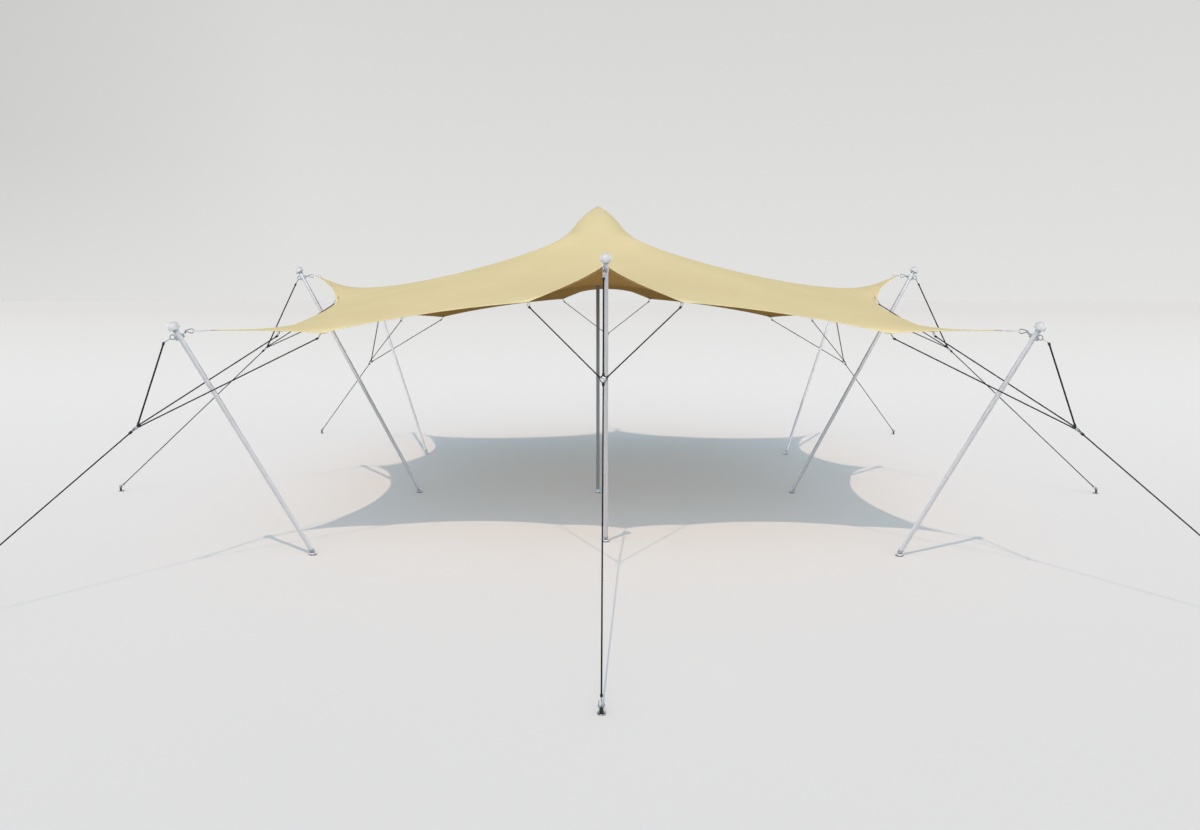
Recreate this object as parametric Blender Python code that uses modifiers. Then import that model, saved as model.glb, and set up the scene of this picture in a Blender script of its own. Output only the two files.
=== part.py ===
# Stretch tent: one tensioned fabric canopy on a centre pole and eight leaning masts,
# held by bridles and guy lines to eight ground anchors.
# Metres, +Z up. The origin is on the ground, midway between the anchors.

import math

import bmesh
import bpy
import numpy as np
from mathutils import Matrix, Vector

# Tubes and feet
TUBE_RADIUS = 0.02415
FOOT_RADIUS = 0.042
FOOT_HEIGHT = 0.010
BALL_HEIGHT = 0.030
BALL_RADIUS = 0.02615
BALL_NECK = 0.046
COLLAR_RADIUS = 0.029
COLLAR_HALF_LENGTH = 0.022
COLLAR_CHAMFER = 0.004
COLLAR_BELOW_CAP = 0.088
CAP_RADIUS = 0.055
CAP_SKIRT = 0.020
TURNED_SIDES = 12
TUBE_SIDES = 16
HEAD_SIDES = 24
TOUCH = 0.0003

# Corner masts and side masts: where they stand, and the flat underside of their caps
CORNER_FOOT = (3.183, 3.125)
CORNER_CAP = (4.132, 3.967, 2.474)
SIDE_FOOT = (2.661, 2.578)
SIDE_CAP = (4.243, 4.178, 3.113)

# Bridle rings and ground anchors
CORNER_RING = (4.440, 4.233, 1.540)
SIDE_RING = (4.782, 4.688, 2.050)
CORNER_ANCHOR = (5.810, 5.482)
SIDE_ANCHOR = (6.969, 6.862)

# Centre pole, a little left of the middle, with its domed head
POLE_X = -0.111
PEAK_HEIGHT = 4.000
HEAD_RADIUS = 0.370
HEAD_SLOPE = 0.408
HEAD_CURVE = 1.340
HEAD_RINGS = (0.0, 0.13, 0.26, HEAD_RADIUS)
HEAD_WALL = 0.006
HEAD_GAP = 0.0015
HEAD_LIP = 0.012
HUB_RADIUS = 0.034
HUB_BELOW_PEAK = 0.040
HUB_LENGTH = 0.160
SOCKET_RADIUS = 0.030
SOCKET_HEIGHT = 0.055

# Canopy: tail tips at the masts, and the loop points that the bridles hold
FABRIC = 0.005
CORNER_TAIL = (4.000, 3.840, 2.450)
SIDE_TAIL = (4.055, 3.990, 3.058)
INNER_LOOP = (3.530, 3.555, 0.774, 2.727)
OUTER_LOOP = (3.510, 3.411, 2.900, 2.409)
TAIL_EDGE_PULL = 1.2
LONG_EDGE_PULL = 2.6
RADIAL_PULL = 1.3
TAIL_STEPS = 3
LONG_STEPS = 4
RADIAL_STEPS = 9

# Ropes, links and anchors
MAST_ROPE_RADIUS = 0.0080
EDGE_ROPE_RADIUS = 0.0055
GUY_ROPE_RADIUS = 0.0060
WIRE_RADIUS = 0.0050
THIN_WIRE_RADIUS = 0.0030
RING_WIRE_RADIUS = 0.0065
RING_LENGTH = 0.072
RING_WIDTH = 0.076
RING_SHOULDER = math.radians(36)
EDGE_LINK_LENGTH = 0.058
EDGE_LINK_WIDTH = 0.034
EDGE_LINK_GAP = 0.0045
EDGE_LINK_ALONG = 0.45
EYE_WIDTH = 0.056
EYE_ROD_RADIUS = 0.0055
CORNER_KNOB = (0.142, 0.050)
SIDE_KNOB = (0.112, 0.085)
TAIL_LINK_LENGTH = 0.088
TAIL_LINK_WIDTH = 0.046
TAIL_LINK_RISE = 0.002
TAIL_LINK_GAP = 0.0008
SHANK_RADIUS = 0.006
SHANK_GAP = 0.003
COLLAR_GAP = 0.001
WIRE_SIDES = 6
ROPE_SIDES = 8
LINK_POINTS = 6
RING_POINTS = 8

# Ground anchors: a round plate, an upright sleeve, a fork with its pin, and a link
ANCHOR_DISC_RADIUS = 0.030
ANCHOR_DISC_HEIGHT = 0.008
ANCHOR_SLEEVE_RADIUS = 0.014
ANCHOR_SLEEVE_START = 0.004
ANCHOR_SLEEVE_END = 0.050
ANCHOR_FORK_START = 0.044
ANCHOR_FORK_END = 0.094
ANCHOR_FORK_WIDTH = 0.044
ANCHOR_LUG_WIDTH = 0.010
ANCHOR_LUG_DEPTH = 0.018
ANCHOR_BRIDGE_DEPTH = 0.012
ANCHOR_BRIDGE_HEIGHT = 0.007
ANCHOR_PIN_RADIUS = 0.0025
ANCHOR_PIN_INSIDE_LINK = 0.0168
ANCHOR_PULL_HEIGHT = 0.059
ANCHOR_LINK_START = -0.008
ANCHOR_LINK_END = 0.060
ANCHOR_LINK_WIDTH = 0.028
ANCHOR_WIRE_RADIUS = 0.0035

PLACES = {
    "front_left": (-1, -1),
    "front": (0, -1),
    "front_right": (1, -1),
    "right": (1, 0),
    "back_right": (1, 1),
    "back": (0, 1),
    "back_left": (-1, 1),
    "left": (-1, 0),
}


def new_collection(name):
    collection = bpy.data.collections.new(name)
    bpy.context.scene.collection.children.link(collection)
    return collection


def clear_scene():
    for obj in list(bpy.data.objects):
        bpy.data.objects.remove(obj, do_unlink=True)


def make_material(name, colour, roughness, metallic=0.0):
    material = bpy.data.materials.new(name)
    material.use_nodes = True
    shader = material.node_tree.nodes["Principled BSDF"]
    shader.inputs["Base Color"].default_value = (*colour, 1.0)
    shader.inputs["Roughness"].default_value = roughness
    shader.inputs["Metallic"].default_value = metallic
    return material


def make_materials():
    return {
        "canopy_fabric": make_material("canopy_fabric", (0.73, 0.63, 0.36), 0.85),
        "mast_aluminium": make_material("mast_aluminium", (0.62, 0.64, 0.66), 0.35, 1.0),
        "cap_plastic": make_material("cap_plastic", (0.80, 0.82, 0.78), 0.45),
        "polished_steel": make_material("polished_steel", (0.70, 0.71, 0.72), 0.15, 1.0),
        "black_rope": make_material("black_rope", (0.02, 0.02, 0.02), 0.80),
        "anchor_steel": make_material("anchor_steel", (0.66, 0.69, 0.72), 0.30, 1.0),
    }


def add_object(name, data, collection, material):
    obj = bpy.data.objects.new(name, data)
    collection.objects.link(obj)
    obj.data.materials.append(material)
    return obj


def turned(name, profile, collection, material, sides=TURNED_SIDES):
    """A turned shape: profile is (radius, height) from its top, down its outer side."""
    mesh = bpy.data.meshes.new(name)
    points = [(radius, 0.0, height) for radius, height in profile]
    mesh.from_pydata(points, [(i, i + 1) for i in range(len(points) - 1)], [])
    obj = add_object(name, mesh, collection, material)
    screw = obj.modifiers.new("turn", "SCREW")
    screw.axis = "Z"
    screw.steps = sides
    screw.render_steps = sides
    screw.use_merge_vertices = True
    screw.merge_threshold = 0.0001
    return obj


def arc(radius, centre_height, first, last, steps):
    """Points of a round stretch of a profile, in degrees from the horizontal."""
    angles = [math.radians(first + (last - first) * i / steps) for i in range(steps + 1)]
    return [(radius * math.cos(a), centre_height + radius * math.sin(a)) for a in angles]


def to_mesh_object(curve_obj, collection):
    """A curve as a welded mesh, so that it can be joined to others."""
    depsgraph = bpy.context.evaluated_depsgraph_get()
    mesh = bpy.data.meshes.new_from_object(curve_obj.evaluated_get(depsgraph))
    shape = bmesh.new()
    shape.from_mesh(mesh)
    bmesh.ops.remove_doubles(shape, verts=shape.verts, dist=0.00001)
    bmesh.ops.recalc_face_normals(shape, faces=shape.faces)
    shape.to_mesh(mesh)
    shape.free()
    obj = bpy.data.objects.new(curve_obj.name, mesh)
    obj.matrix_world = curve_obj.matrix_world
    name = curve_obj.name
    bpy.data.objects.remove(curve_obj, do_unlink=True)
    obj.name = name
    collection.objects.link(obj)
    return obj


def bent_wire(name, points, radius, closed, collection, material, sides=WIRE_SIDES):
    """A round wire, rod or taut rope along its points, as a mesh."""
    curve = bpy.data.curves.new(name, "CURVE")
    curve.dimensions = "3D"
    curve.bevel_depth = radius
    curve.bevel_resolution = sides // 2 - 2
    curve.use_fill_caps = not closed
    spline = curve.splines.new("POLY")
    spline.points.add(len(points) - 1)
    spline.use_cyclic_u = closed
    for point, place in zip(spline.points, points):
        point.co = (*place, 1.0)
    obj = add_object(name, curve, collection, material)
    return to_mesh_object(obj, collection)


def rope(name, start, end, radius, collection, material, sides=WIRE_SIDES):
    return bent_wire(name, [start, end], radius, False, collection, material, sides)


def oval_link(name, start, end, side, width, wire, collection, material, count=LINK_POINTS):
    """An oval wire link that reaches from start to end, and lies flat along side."""
    middle = (start + end) / 2
    along = (end - start) / 2
    half_long = along.normalized() * (along.length - wire)
    sideways = side - along.normalized() * side.dot(along.normalized())
    half_wide = sideways.normalized() * (width / 2 - wire)
    turns = [2 * math.pi * i / count for i in range(count)]
    points = [middle + half_long * math.cos(turn) + half_wide * math.sin(turn) for turn in turns]
    return bent_wire(name, points, wire, True, collection, material)


def adopt(obj, name, collection, material):
    """Takes the primitive that was just added into a collection, with its name and material."""
    obj.name = name
    obj.data.name = name
    obj.data.materials.append(material)
    for owner in list(obj.users_collection):
        owner.objects.unlink(obj)
    collection.objects.link(obj)
    return obj


def disc(name, centre, radius, height, collection, material):
    """A round plate that lies level, with its underside at centre."""
    bpy.ops.mesh.primitive_cylinder_add(vertices=TURNED_SIDES, radius=radius, depth=height)
    obj = adopt(bpy.context.object, name, collection, material)
    obj.location = (centre.x, centre.y, centre.z + height / 2)
    return obj


def block(name, centre, turn, size, collection, material):
    """A box of a size, turned by a matrix and set at centre."""
    bpy.ops.mesh.primitive_cube_add(size=1.0)
    obj = adopt(bpy.context.object, name, collection, material)
    obj.data.transform(Matrix.Diagonal((*size, 1.0)))
    obj.data.transform(Matrix.Translation(centre) @ turn)
    return obj


def fuse(body, others, cutters):
    """Joins the other pieces to body as one solid."""
    for number, other in enumerate(others):
        for owner in list(other.users_collection):
            owner.objects.unlink(other)
        cutters.objects.link(other)
        other.hide_render = True
        other.display_type = "WIRE"
        union = body.modifiers.new("join_" + str(number), "BOOLEAN")
        union.operation = "UNION"
        union.solver = "EXACT"
        union.object = other
    return body


def is_corner(place):
    return 0 not in PLACES[place]


def placed(place, corner, side):
    """The corner's or the side's (x, y) or (x, y, z), turned to this place."""
    sign_x, sign_y = PLACES[place]
    values = corner if is_corner(place) else side
    return Vector((sign_x * values[0], sign_y * values[1], *values[2:])).to_3d()


def outward(place):
    """Level direction from the middle of the tent to this place."""
    foot = placed(place, CORNER_FOOT, SIDE_FOOT)
    cap = placed(place, CORNER_CAP, SIDE_CAP)
    way = cap - foot
    way.z = 0.0
    return way.normalized()


def mast_line(place):
    """The middle of the foot on the ground, the cap's underside, and the mast's direction."""
    foot = placed(place, CORNER_FOOT, SIDE_FOOT)
    cap = placed(place, CORNER_CAP, SIDE_CAP)
    return foot, cap, (cap - foot).normalized()


def collar_point(place):
    foot, cap, along = mast_line(place)
    return cap - along * COLLAR_BELOW_CAP


def collar_reach(place):
    """Level distance from the mast's middle to clear of its collar."""
    return COLLAR_RADIUS / mast_line(place)[2].z + COLLAR_GAP


def across(place):
    return Vector((0, 0, 1)).cross(outward(place))


# Canopy


def outline_points():
    """The canopy's edge, anticlockwise from the right-hand tail: points, held, pull."""
    tail_x, tail_y, tail_z = SIDE_TAIL
    near_x, near_y, near_off, near_z = INNER_LOOP
    far_x, far_y, far_off, far_z = OUTER_LOOP
    corner_x, corner_y, corner_z = CORNER_TAIL

    def quarter(sign_x, sign_y):
        """From the tail on the X side to the tail on the Y side of one quarter."""
        return [
            (sign_x * tail_x, 0.0, tail_z),
            (sign_x * near_x, sign_y * near_off, near_z),
            (sign_x * far_x, sign_y * far_off, far_z),
            (sign_x * corner_x, sign_y * corner_y, corner_z),
            (sign_x * far_off, sign_y * far_y, far_z),
            (sign_x * near_off, sign_y * near_y, near_z),
            (0.0, sign_y * tail_y, tail_z),
        ]

    held = quarter(1, 1)[:-1] + quarter(-1, 1)[:0:-1] + quarter(-1, -1)[:-1]
    held += quarter(1, -1)[:0:-1]
    pulls = [TAIL_EDGE_PULL, LONG_EDGE_PULL, TAIL_EDGE_PULL] * 8
    steps = [TAIL_STEPS, LONG_STEPS, TAIL_STEPS] * 8
    points, is_held, pull = [], [], []
    for i, start in enumerate(held):
        start = np.array(start)
        end = np.array(held[(i + 1) % len(held)])
        for j in range(steps[i]):
            points.append(start + (end - start) * j / steps[i])
            is_held.append(j == 0)
            pull.append(pulls[i])
    return np.array(points), np.array(is_held), np.array(pull)


def head_height(radius):
    return PEAK_HEIGHT - HEAD_SLOPE * radius - HEAD_CURVE * radius * radius


def under_fabric(radius):
    """Height just below the fabric's underside on the dome."""
    slope = HEAD_SLOPE + 2 * HEAD_CURVE * radius
    return head_height(radius) - (FABRIC / 2 + HEAD_GAP) * math.hypot(1.0, slope)


def form_find():
    """The canopy's middle surface in tension: a grid of points, around by outwards.

    Each pass takes the fabric's stress from its plan and solves for balance, with a
    cord of its own pull along each edge.
    """
    edge, held, pull = outline_points()
    around = len(edge)
    turn = np.arctan2(edge[:, 1], edge[:, 0] - POLE_X)
    rim = np.stack(
        [
            POLE_X + HEAD_RADIUS * np.cos(turn),
            HEAD_RADIUS * np.sin(turn),
            np.full(around, head_height(HEAD_RADIUS)),
        ],
        axis=1,
    )
    share = np.linspace(0, 1, RADIAL_STEPS + 1)[None, :, None]
    points = (rim[:, None] * (1 - share) + edge[:, None] * share).reshape(-1, 3)
    index = np.arange(len(points)).reshape(around, RADIAL_STEPS + 1)
    following = np.roll(index, -1, axis=0)
    a, b = index[:, :-1].ravel(), following[:, :-1].ravel()
    c, d = following[:, 1:].ravel(), index[:, 1:].ravel()
    corners = [(a, b, c), (a, c, d), (a, b, d), (b, c, d)]
    triangles = np.concatenate([np.stack(three, axis=1) for three in corners])
    fixed = np.zeros(len(points), bool)
    fixed[index[:, 0]] = True
    fixed[index[held, -1]] = True
    free = ~fixed
    runs = np.cumsum(held) - 1
    here, there = index[:, -1], following[:, -1]
    for _ in range(2):
        plan = points.copy()
        plan[:, 2] = 0.0
        stress = np.zeros((len(points), len(points)))
        for k in range(3):
            i, j, apex = triangles[:, k], triangles[:, (k + 1) % 3], triangles[:, (k + 2) % 3]
            u, v = plan[i] - plan[apex], plan[j] - plan[apex]
            area = np.linalg.norm(np.cross(u, v), axis=1)
            weight = np.clip(0.25 * (u * v).sum(axis=1) / np.maximum(area, 1e-9), -0.2, 20.0)
            np.add.at(stress, (i, j), weight)
            np.add.at(stress, (j, i), weight)
        stress[a, d] *= RADIAL_PULL
        stress[d, a] *= RADIAL_PULL
        length = np.linalg.norm(plan[here] - plan[there], axis=1)
        mean_length = np.array([length[runs == run].mean() for run in range(held.sum())])
        weight = pull / mean_length[runs]
        np.add.at(stress, (here, there), weight)
        np.add.at(stress, (there, here), weight)
        balance = np.diag(stress.sum(axis=1)) - stress
        load = -balance[np.ix_(free, fixed)] @ points[fixed]
        points[free] = np.linalg.solve(balance[np.ix_(free, free)], load)
    return points.reshape(around, RADIAL_STEPS + 1, 3), turn


def make_canopy(collection, material):
    """The fabric: the form-found surface, with the dome over the pole head in its middle."""
    grid, turn = form_find()
    around = len(grid)
    points = [(POLE_X, 0.0, head_height(0.0))]
    for radius in HEAD_RINGS[1:-1]:
        for angle in turn:
            x = POLE_X + radius * math.cos(angle)
            points.append((x, radius * math.sin(angle), head_height(radius)))
    for ring in range(grid.shape[1]):
        points += [tuple(grid[i, ring]) for i in range(around)]
    rings = len(HEAD_RINGS) - 2 + grid.shape[1]
    faces = []
    for i in range(around):
        j = (i + 1) % around
        faces.append((0, 1 + i, 1 + j))
        for ring in range(rings - 1):
            inner, outer = 1 + ring * around, 1 + (ring + 1) * around
            faces.append((inner + i, outer + i, outer + j, inner + j))
    mesh = bpy.data.meshes.new("canopy")
    mesh.from_pydata(points, [], faces)
    mesh.shade_smooth()
    obj = add_object("canopy", mesh, collection, material)
    wall = obj.modifiers.new("cloth_thickness", "SOLIDIFY")
    wall.thickness = FABRIC
    wall.offset = 0.0
    return obj


# Centre pole


def make_pole_head(collection, material):
    """The spread dome that the canopy lies on, with the hub that takes the pole."""
    dome = [(radius, under_fabric(radius)) for radius in HEAD_RINGS]
    inside = [(radius, height - HEAD_WALL) for radius, height in reversed(dome[1:-1])]
    rim_radius, rim_height = dome[-1]
    lip = [(rim_radius - TOUCH, rim_height - HEAD_LIP)]
    lip += [(rim_radius - HEAD_WALL, rim_height - HEAD_LIP + HEAD_WALL / 3)]
    hub_top = head_height(0.0) - HUB_BELOW_PEAK
    hub_low = hub_top - HUB_LENGTH
    bore = TUBE_RADIUS + TOUCH
    profile = dome + lip + inside
    profile += [(HUB_RADIUS, inside[-1][1]), (HUB_RADIUS, hub_low), (bore, hub_low)]
    profile += [(bore, hub_top), (0.0, hub_top)]
    head = turned("centre_pole_head", profile, collection, material, HEAD_SIDES)
    head.location.x = POLE_X


def make_pole_foot(collection, material):
    bore = TUBE_RADIUS + TOUCH
    profile = [(0.0, FOOT_HEIGHT), (bore, FOOT_HEIGHT), (bore, SOCKET_HEIGHT)]
    profile += [(SOCKET_RADIUS, SOCKET_HEIGHT), (SOCKET_RADIUS, FOOT_HEIGHT + HEAD_WALL)]
    profile += [(FOOT_RADIUS, FOOT_HEIGHT), (FOOT_RADIUS, 0.0), (0.0, 0.0)]
    foot = turned("centre_pole_foot", profile, collection, material, TUBE_SIDES)
    foot.location.x = POLE_X


def make_centre_pole(collection, material):
    high = head_height(0.0) - HUB_BELOW_PEAK - TOUCH
    low = FOOT_HEIGHT + TOUCH
    profile = [(0.0, high), (TUBE_RADIUS, high), (TUBE_RADIUS, low), (0.0, low)]
    pole = turned("centre_pole", profile, collection, material, TUBE_SIDES)
    pole.location.x = POLE_X


# Masts


def make_mast(place, collection, cutters, materials):
    """A leaning tube with a collar near its top, on a ball in a round foot plate."""
    foot, cap, _ = mast_line(place)
    ball = foot + Vector((0, 0, BALL_HEIGHT))
    length = (cap - ball).length - TOUCH
    collar = length - COLLAR_BELOW_CAP
    half, shoulder = COLLAR_HALF_LENGTH, COLLAR_HALF_LENGTH + COLLAR_CHAMFER
    profile = [(0.0, length), (TUBE_RADIUS, length), (TUBE_RADIUS, collar + shoulder)]
    profile += [(COLLAR_RADIUS, collar + half), (COLLAR_RADIUS, collar - half)]
    profile += [(TUBE_RADIUS, collar - shoulder), (TUBE_RADIUS, BALL_NECK + COLLAR_CHAMFER)]
    profile += [(BALL_RADIUS, BALL_NECK)] + arc(BALL_RADIUS, 0.0, 0, -90, 3)[:-1]
    profile += [(0.0, -BALL_RADIUS)]
    mast = turned("mast_" + place, profile, collection, materials["mast_aluminium"])
    mast.location = ball
    mast.rotation_mode = "QUATERNION"
    mast.rotation_quaternion = Vector((0, 0, 1)).rotation_difference((cap - ball).normalized())
    name = "foot_plate_" + place
    plate = disc(name, foot, FOOT_RADIUS, FOOT_HEIGHT, cutters, materials["anchor_steel"])
    fuse(mast, [plate], cutters)


def make_cap(place, collection, material):
    _, cap, along = mast_line(place)
    profile = [(0.0, CAP_SKIRT + CAP_RADIUS)] + arc(CAP_RADIUS, CAP_SKIRT, 90, 0, 4)[1:]
    profile += [(CAP_RADIUS, 0.0), (0.0, 0.0)]
    obj = turned("mast_cap_" + place, profile, collection, material)
    obj.location = cap
    obj.rotation_mode = "QUATERNION"
    obj.rotation_quaternion = Vector((0, 0, 1)).rotation_difference(along)


def make_tail_hook(place, collection, cutters, steel):
    """A short shank from the mast's collar and an oval link that takes the tail's tip."""
    tip = placed(place, CORNER_TAIL, SIDE_TAIL)
    out = outward(place)
    start = collar_point(place) - out * (collar_reach(place) + SHANK_GAP)
    near = tip + out * TAIL_LINK_GAP
    far = tip + out * TAIL_LINK_LENGTH + Vector((0, 0, TAIL_LINK_RISE))
    name = "tail_hook_" + place
    link = oval_link(
        name, near, far, across(place), TAIL_LINK_WIDTH, WIRE_RADIUS, collection, steel, RING_POINTS
    )
    shank = rope("shank_" + place, start, far - out * WIRE_RADIUS, SHANK_RADIUS, cutters, steel)
    fuse(link, [shank], cutters)


# Bridles and guy lines


def loop_points(place):
    """The two canopy points that this place's bridle holds."""
    near_x, near_y, near_off, near_z = INNER_LOOP
    far_x, far_y, far_off, far_z = OUTER_LOOP
    sign_x, sign_y = PLACES[place]
    if is_corner(place):
        first = Vector((sign_x * far_off, sign_y * far_y, far_z))
        second = Vector((sign_x * far_x, sign_y * far_off, far_z))
    elif sign_x == 0:
        first = Vector((-near_off, sign_y * near_y, near_z))
        second = Vector((near_off, sign_y * near_y, near_z))
    else:
        first = Vector((sign_x * near_x, -near_off, near_z))
        second = Vector((sign_x * near_x, near_off, near_z))
    return first, second


def guy_direction(place):
    """The point inside the anchor's fork that the guy line pulls on, and its direction."""
    anchor = placed(place, CORNER_ANCHOR, SIDE_ANCHOR)
    base = anchor + Vector((0, 0, ANCHOR_PULL_HEIGHT))
    ring = placed(place, CORNER_RING, SIDE_RING)
    return base, (ring - base).normalized()


def bridle_leg(tag, ring, held, ring_frame, cutters, steel, black):
    """The link at one of the canopy's loops, and the edge rope from it to the ring."""
    side, reach_up = ring_frame
    down = Vector((0, 0, -1))
    way = (ring - held).normalized()
    level = Vector((way.x, way.y, 0.0)).normalized()
    link_way = (way * EDGE_LINK_ALONG + down * (1 - EDGE_LINK_ALONG)).normalized()
    start = held + level * EDGE_LINK_GAP
    end = start + link_way * EDGE_LINK_LENGTH
    flat = way.cross(down)
    name = "edge_link_" + tag
    link = oval_link(name, start, end, flat, EDGE_LINK_WIDTH, THIN_WIRE_RADIUS, cutters, steel)
    half_width = RING_WIDTH / 2 - RING_WIRE_RADIUS
    to_side = side * math.copysign(half_width, side.dot(held - ring))
    on_ring = ring + to_side * math.cos(RING_SHOULDER) + reach_up * math.sin(RING_SHOULDER)
    low_end = end - link_way * THIN_WIRE_RADIUS
    leg = rope("edge_rope_" + tag, low_end, on_ring, EDGE_ROPE_RADIUS, cutters, black)
    return [link, leg]


def make_guy(place, collection, cutters, materials):
    """The mast rope, the two edge ropes, their ring, and the guy line to the anchor."""
    ring = placed(place, CORNER_RING, SIDE_RING)
    out, side = outward(place), across(place)
    base, up_guy = guy_direction(place)
    black, steel = materials["black_rope"], materials["polished_steel"]
    reach_up = up_guy * (RING_LENGTH / 2 - RING_WIRE_RADIUS)
    top, low = ring + reach_up, ring - reach_up
    wire = up_guy * RING_WIRE_RADIUS
    body = oval_link(
        "guy_" + place, low - wire, top + wire, side, RING_WIDTH, RING_WIRE_RADIUS, collection, black,
        RING_POINTS,
    )
    up = Vector((0, 0, 1))
    eye_start = collar_point(place) + out * collar_reach(place)
    eye_end = eye_start + out * EYE_WIDTH
    reach, drop = CORNER_KNOB if is_corner(place) else SIDE_KNOB
    knob = collar_point(place) + out * reach - up * drop
    rod_start = eye_end - out * WIRE_RADIUS
    pieces = [
        oval_link("eye_" + place, eye_start, eye_end, up, EYE_WIDTH, WIRE_RADIUS, cutters, steel),
        rope("eye_rod_" + place, rod_start, knob, EYE_ROD_RADIUS, cutters, steel),
        rope("mast_rope_" + place, knob, top, MAST_ROPE_RADIUS, cutters, black, ROPE_SIDES),
    ]
    for number, held in enumerate(loop_points(place)):
        tag = place + "_" + str(number)
        pieces += bridle_leg(tag, ring, held, (side, reach_up), cutters, steel, black)
    link_start = base + up_guy * ANCHOR_LINK_START
    link_end = base + up_guy * ANCHOR_LINK_END
    pieces.append(
        oval_link(
            "anchor_link_" + place, link_start, link_end, up, ANCHOR_LINK_WIDTH,
            ANCHOR_WIRE_RADIUS, cutters, steel,
        )
    )
    rope_end = link_end - up_guy * ANCHOR_WIRE_RADIUS
    pieces.append(rope("guy_rope_" + place, rope_end, low, GUY_ROPE_RADIUS, cutters, black))
    fuse(body, pieces, cutters)


# Anchors


def make_anchor(place, collection, cutters, steel):
    """A round plate on the ground, an upright sleeve, and the fork and pin on its top."""
    anchor = placed(place, CORNER_ANCHOR, SIDE_ANCHOR)
    base, up_guy = guy_direction(place)
    side, up = across(place), Vector((0, 0, 1))
    name = "anchor_" + place
    plate = disc(name, anchor, ANCHOR_DISC_RADIUS, ANCHOR_DISC_HEIGHT, collection, steel)
    sleeve_start = anchor + up * ANCHOR_SLEEVE_START
    sleeve_end = anchor + up * ANCHOR_SLEEVE_END
    turn = Matrix((side, up.cross(side), up)).transposed().to_4x4()
    fork_length = ANCHOR_FORK_END - ANCHOR_FORK_START
    lug_centre = anchor + up * (ANCHOR_FORK_START + fork_length / 2)
    lug_offset = side * (ANCHOR_FORK_WIDTH - ANCHOR_LUG_WIDTH) / 2
    lug_size = (ANCHOR_LUG_WIDTH, ANCHOR_LUG_DEPTH, fork_length)
    bridge_centre = anchor + up * (ANCHOR_FORK_START + ANCHOR_BRIDGE_HEIGHT / 2)
    bridge_size = (ANCHOR_FORK_WIDTH - ANCHOR_LUG_WIDTH, ANCHOR_BRIDGE_DEPTH, ANCHOR_BRIDGE_HEIGHT)
    pin_centre = base + up_guy * (ANCHOR_LINK_START + ANCHOR_PIN_INSIDE_LINK)
    pin_start, pin_end = pin_centre - lug_offset, pin_centre + lug_offset
    pieces = [
        rope("sleeve_" + place, sleeve_start, sleeve_end, ANCHOR_SLEEVE_RADIUS, cutters, steel, ROPE_SIDES),
        block("bridge_" + place, bridge_centre, turn, bridge_size, cutters, steel),
        block("near_lug_" + place, lug_centre - lug_offset, turn, lug_size, cutters, steel),
        block("far_lug_" + place, lug_centre + lug_offset, turn, lug_size, cutters, steel),
        rope("pin_" + place, pin_start, pin_end, ANCHOR_PIN_RADIUS, cutters, steel),
    ]
    fuse(plate, pieces, cutters)


def main():
    clear_scene()
    collection = new_collection("stretch_tent")
    cutters = new_collection("joined_pieces")
    materials = make_materials()
    make_canopy(collection, materials["canopy_fabric"])
    make_pole_head(collection, materials["mast_aluminium"])
    make_centre_pole(collection, materials["mast_aluminium"])
    make_pole_foot(collection, materials["anchor_steel"])
    for place in PLACES:
        make_mast(place, collection, cutters, materials)
        make_cap(place, collection, materials["cap_plastic"])
        make_tail_hook(place, collection, cutters, materials["polished_steel"])
        make_guy(place, collection, cutters, materials)
        make_anchor(place, collection, cutters, materials["anchor_steel"])


main()
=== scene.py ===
import math

import bmesh
import bpy
import numpy as np
from mathutils import Matrix, Vector


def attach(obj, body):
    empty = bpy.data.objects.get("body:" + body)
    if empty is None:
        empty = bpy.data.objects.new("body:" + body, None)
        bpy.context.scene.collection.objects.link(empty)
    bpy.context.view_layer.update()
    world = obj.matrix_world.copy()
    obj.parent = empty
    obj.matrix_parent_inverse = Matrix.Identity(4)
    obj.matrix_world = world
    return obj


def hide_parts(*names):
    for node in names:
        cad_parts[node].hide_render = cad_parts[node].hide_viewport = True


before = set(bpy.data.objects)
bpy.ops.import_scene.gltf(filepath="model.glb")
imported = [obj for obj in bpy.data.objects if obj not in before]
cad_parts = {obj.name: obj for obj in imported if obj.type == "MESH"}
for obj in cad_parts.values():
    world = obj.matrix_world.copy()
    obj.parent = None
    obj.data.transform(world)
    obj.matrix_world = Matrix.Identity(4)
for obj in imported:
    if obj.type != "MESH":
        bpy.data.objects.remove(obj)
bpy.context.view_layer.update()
print("stretch tent: frame loaded,", len(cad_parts), "nodes")

# Driving places of the tent, in metres: the corner's and the side's (x, y) or (x, y, z)
tent = {
    "cornerFoot": (3.183, 3.125),
    "cornerCap": (4.132, 3.967, 2.474),
    "sideFoot": (2.661, 2.578),
    "sideCap": (4.243, 4.178, 3.113),
    "cornerRing": (4.440, 4.233, 1.540),
    "sideRing": (4.782, 4.688, 2.050),
    "cornerAnchor": (5.810, 5.482),
    "sideAnchor": (6.969, 6.862),
    "cornerTail": (4.000, 3.840, 2.450),
    "sideTail": (4.055, 3.990, 3.058),
    "cornerTip": (3.888, 3.740, 2.453),  # the fabric ends here, and a tape runs on to the tail's link
    "sideTip": (4.018, 3.953, 3.062),
    "frontTipRise": 0.018,  # the front and the back tail end this much higher than the side ones
    "poleX": -0.111,
    "peakHeight": 4.000,
    "mastAside": 0.009,  # each mast stands this far to one side of its place's middle plane
    "guyAside": -0.010,  # and its rope, ring and anchor hang on the other side
}
places = {
    "FrontLeft": (-1, -1),
    "Front": (0, -1),
    "FrontRight": (1, -1),
    "Right": (1, 0),
    "BackRight": (1, 1),
    "Back": (0, 1),
    "BackLeft": (-1, 1),
    "Left": (-1, 0),
}
up = Vector((0, 0, 1))


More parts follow.
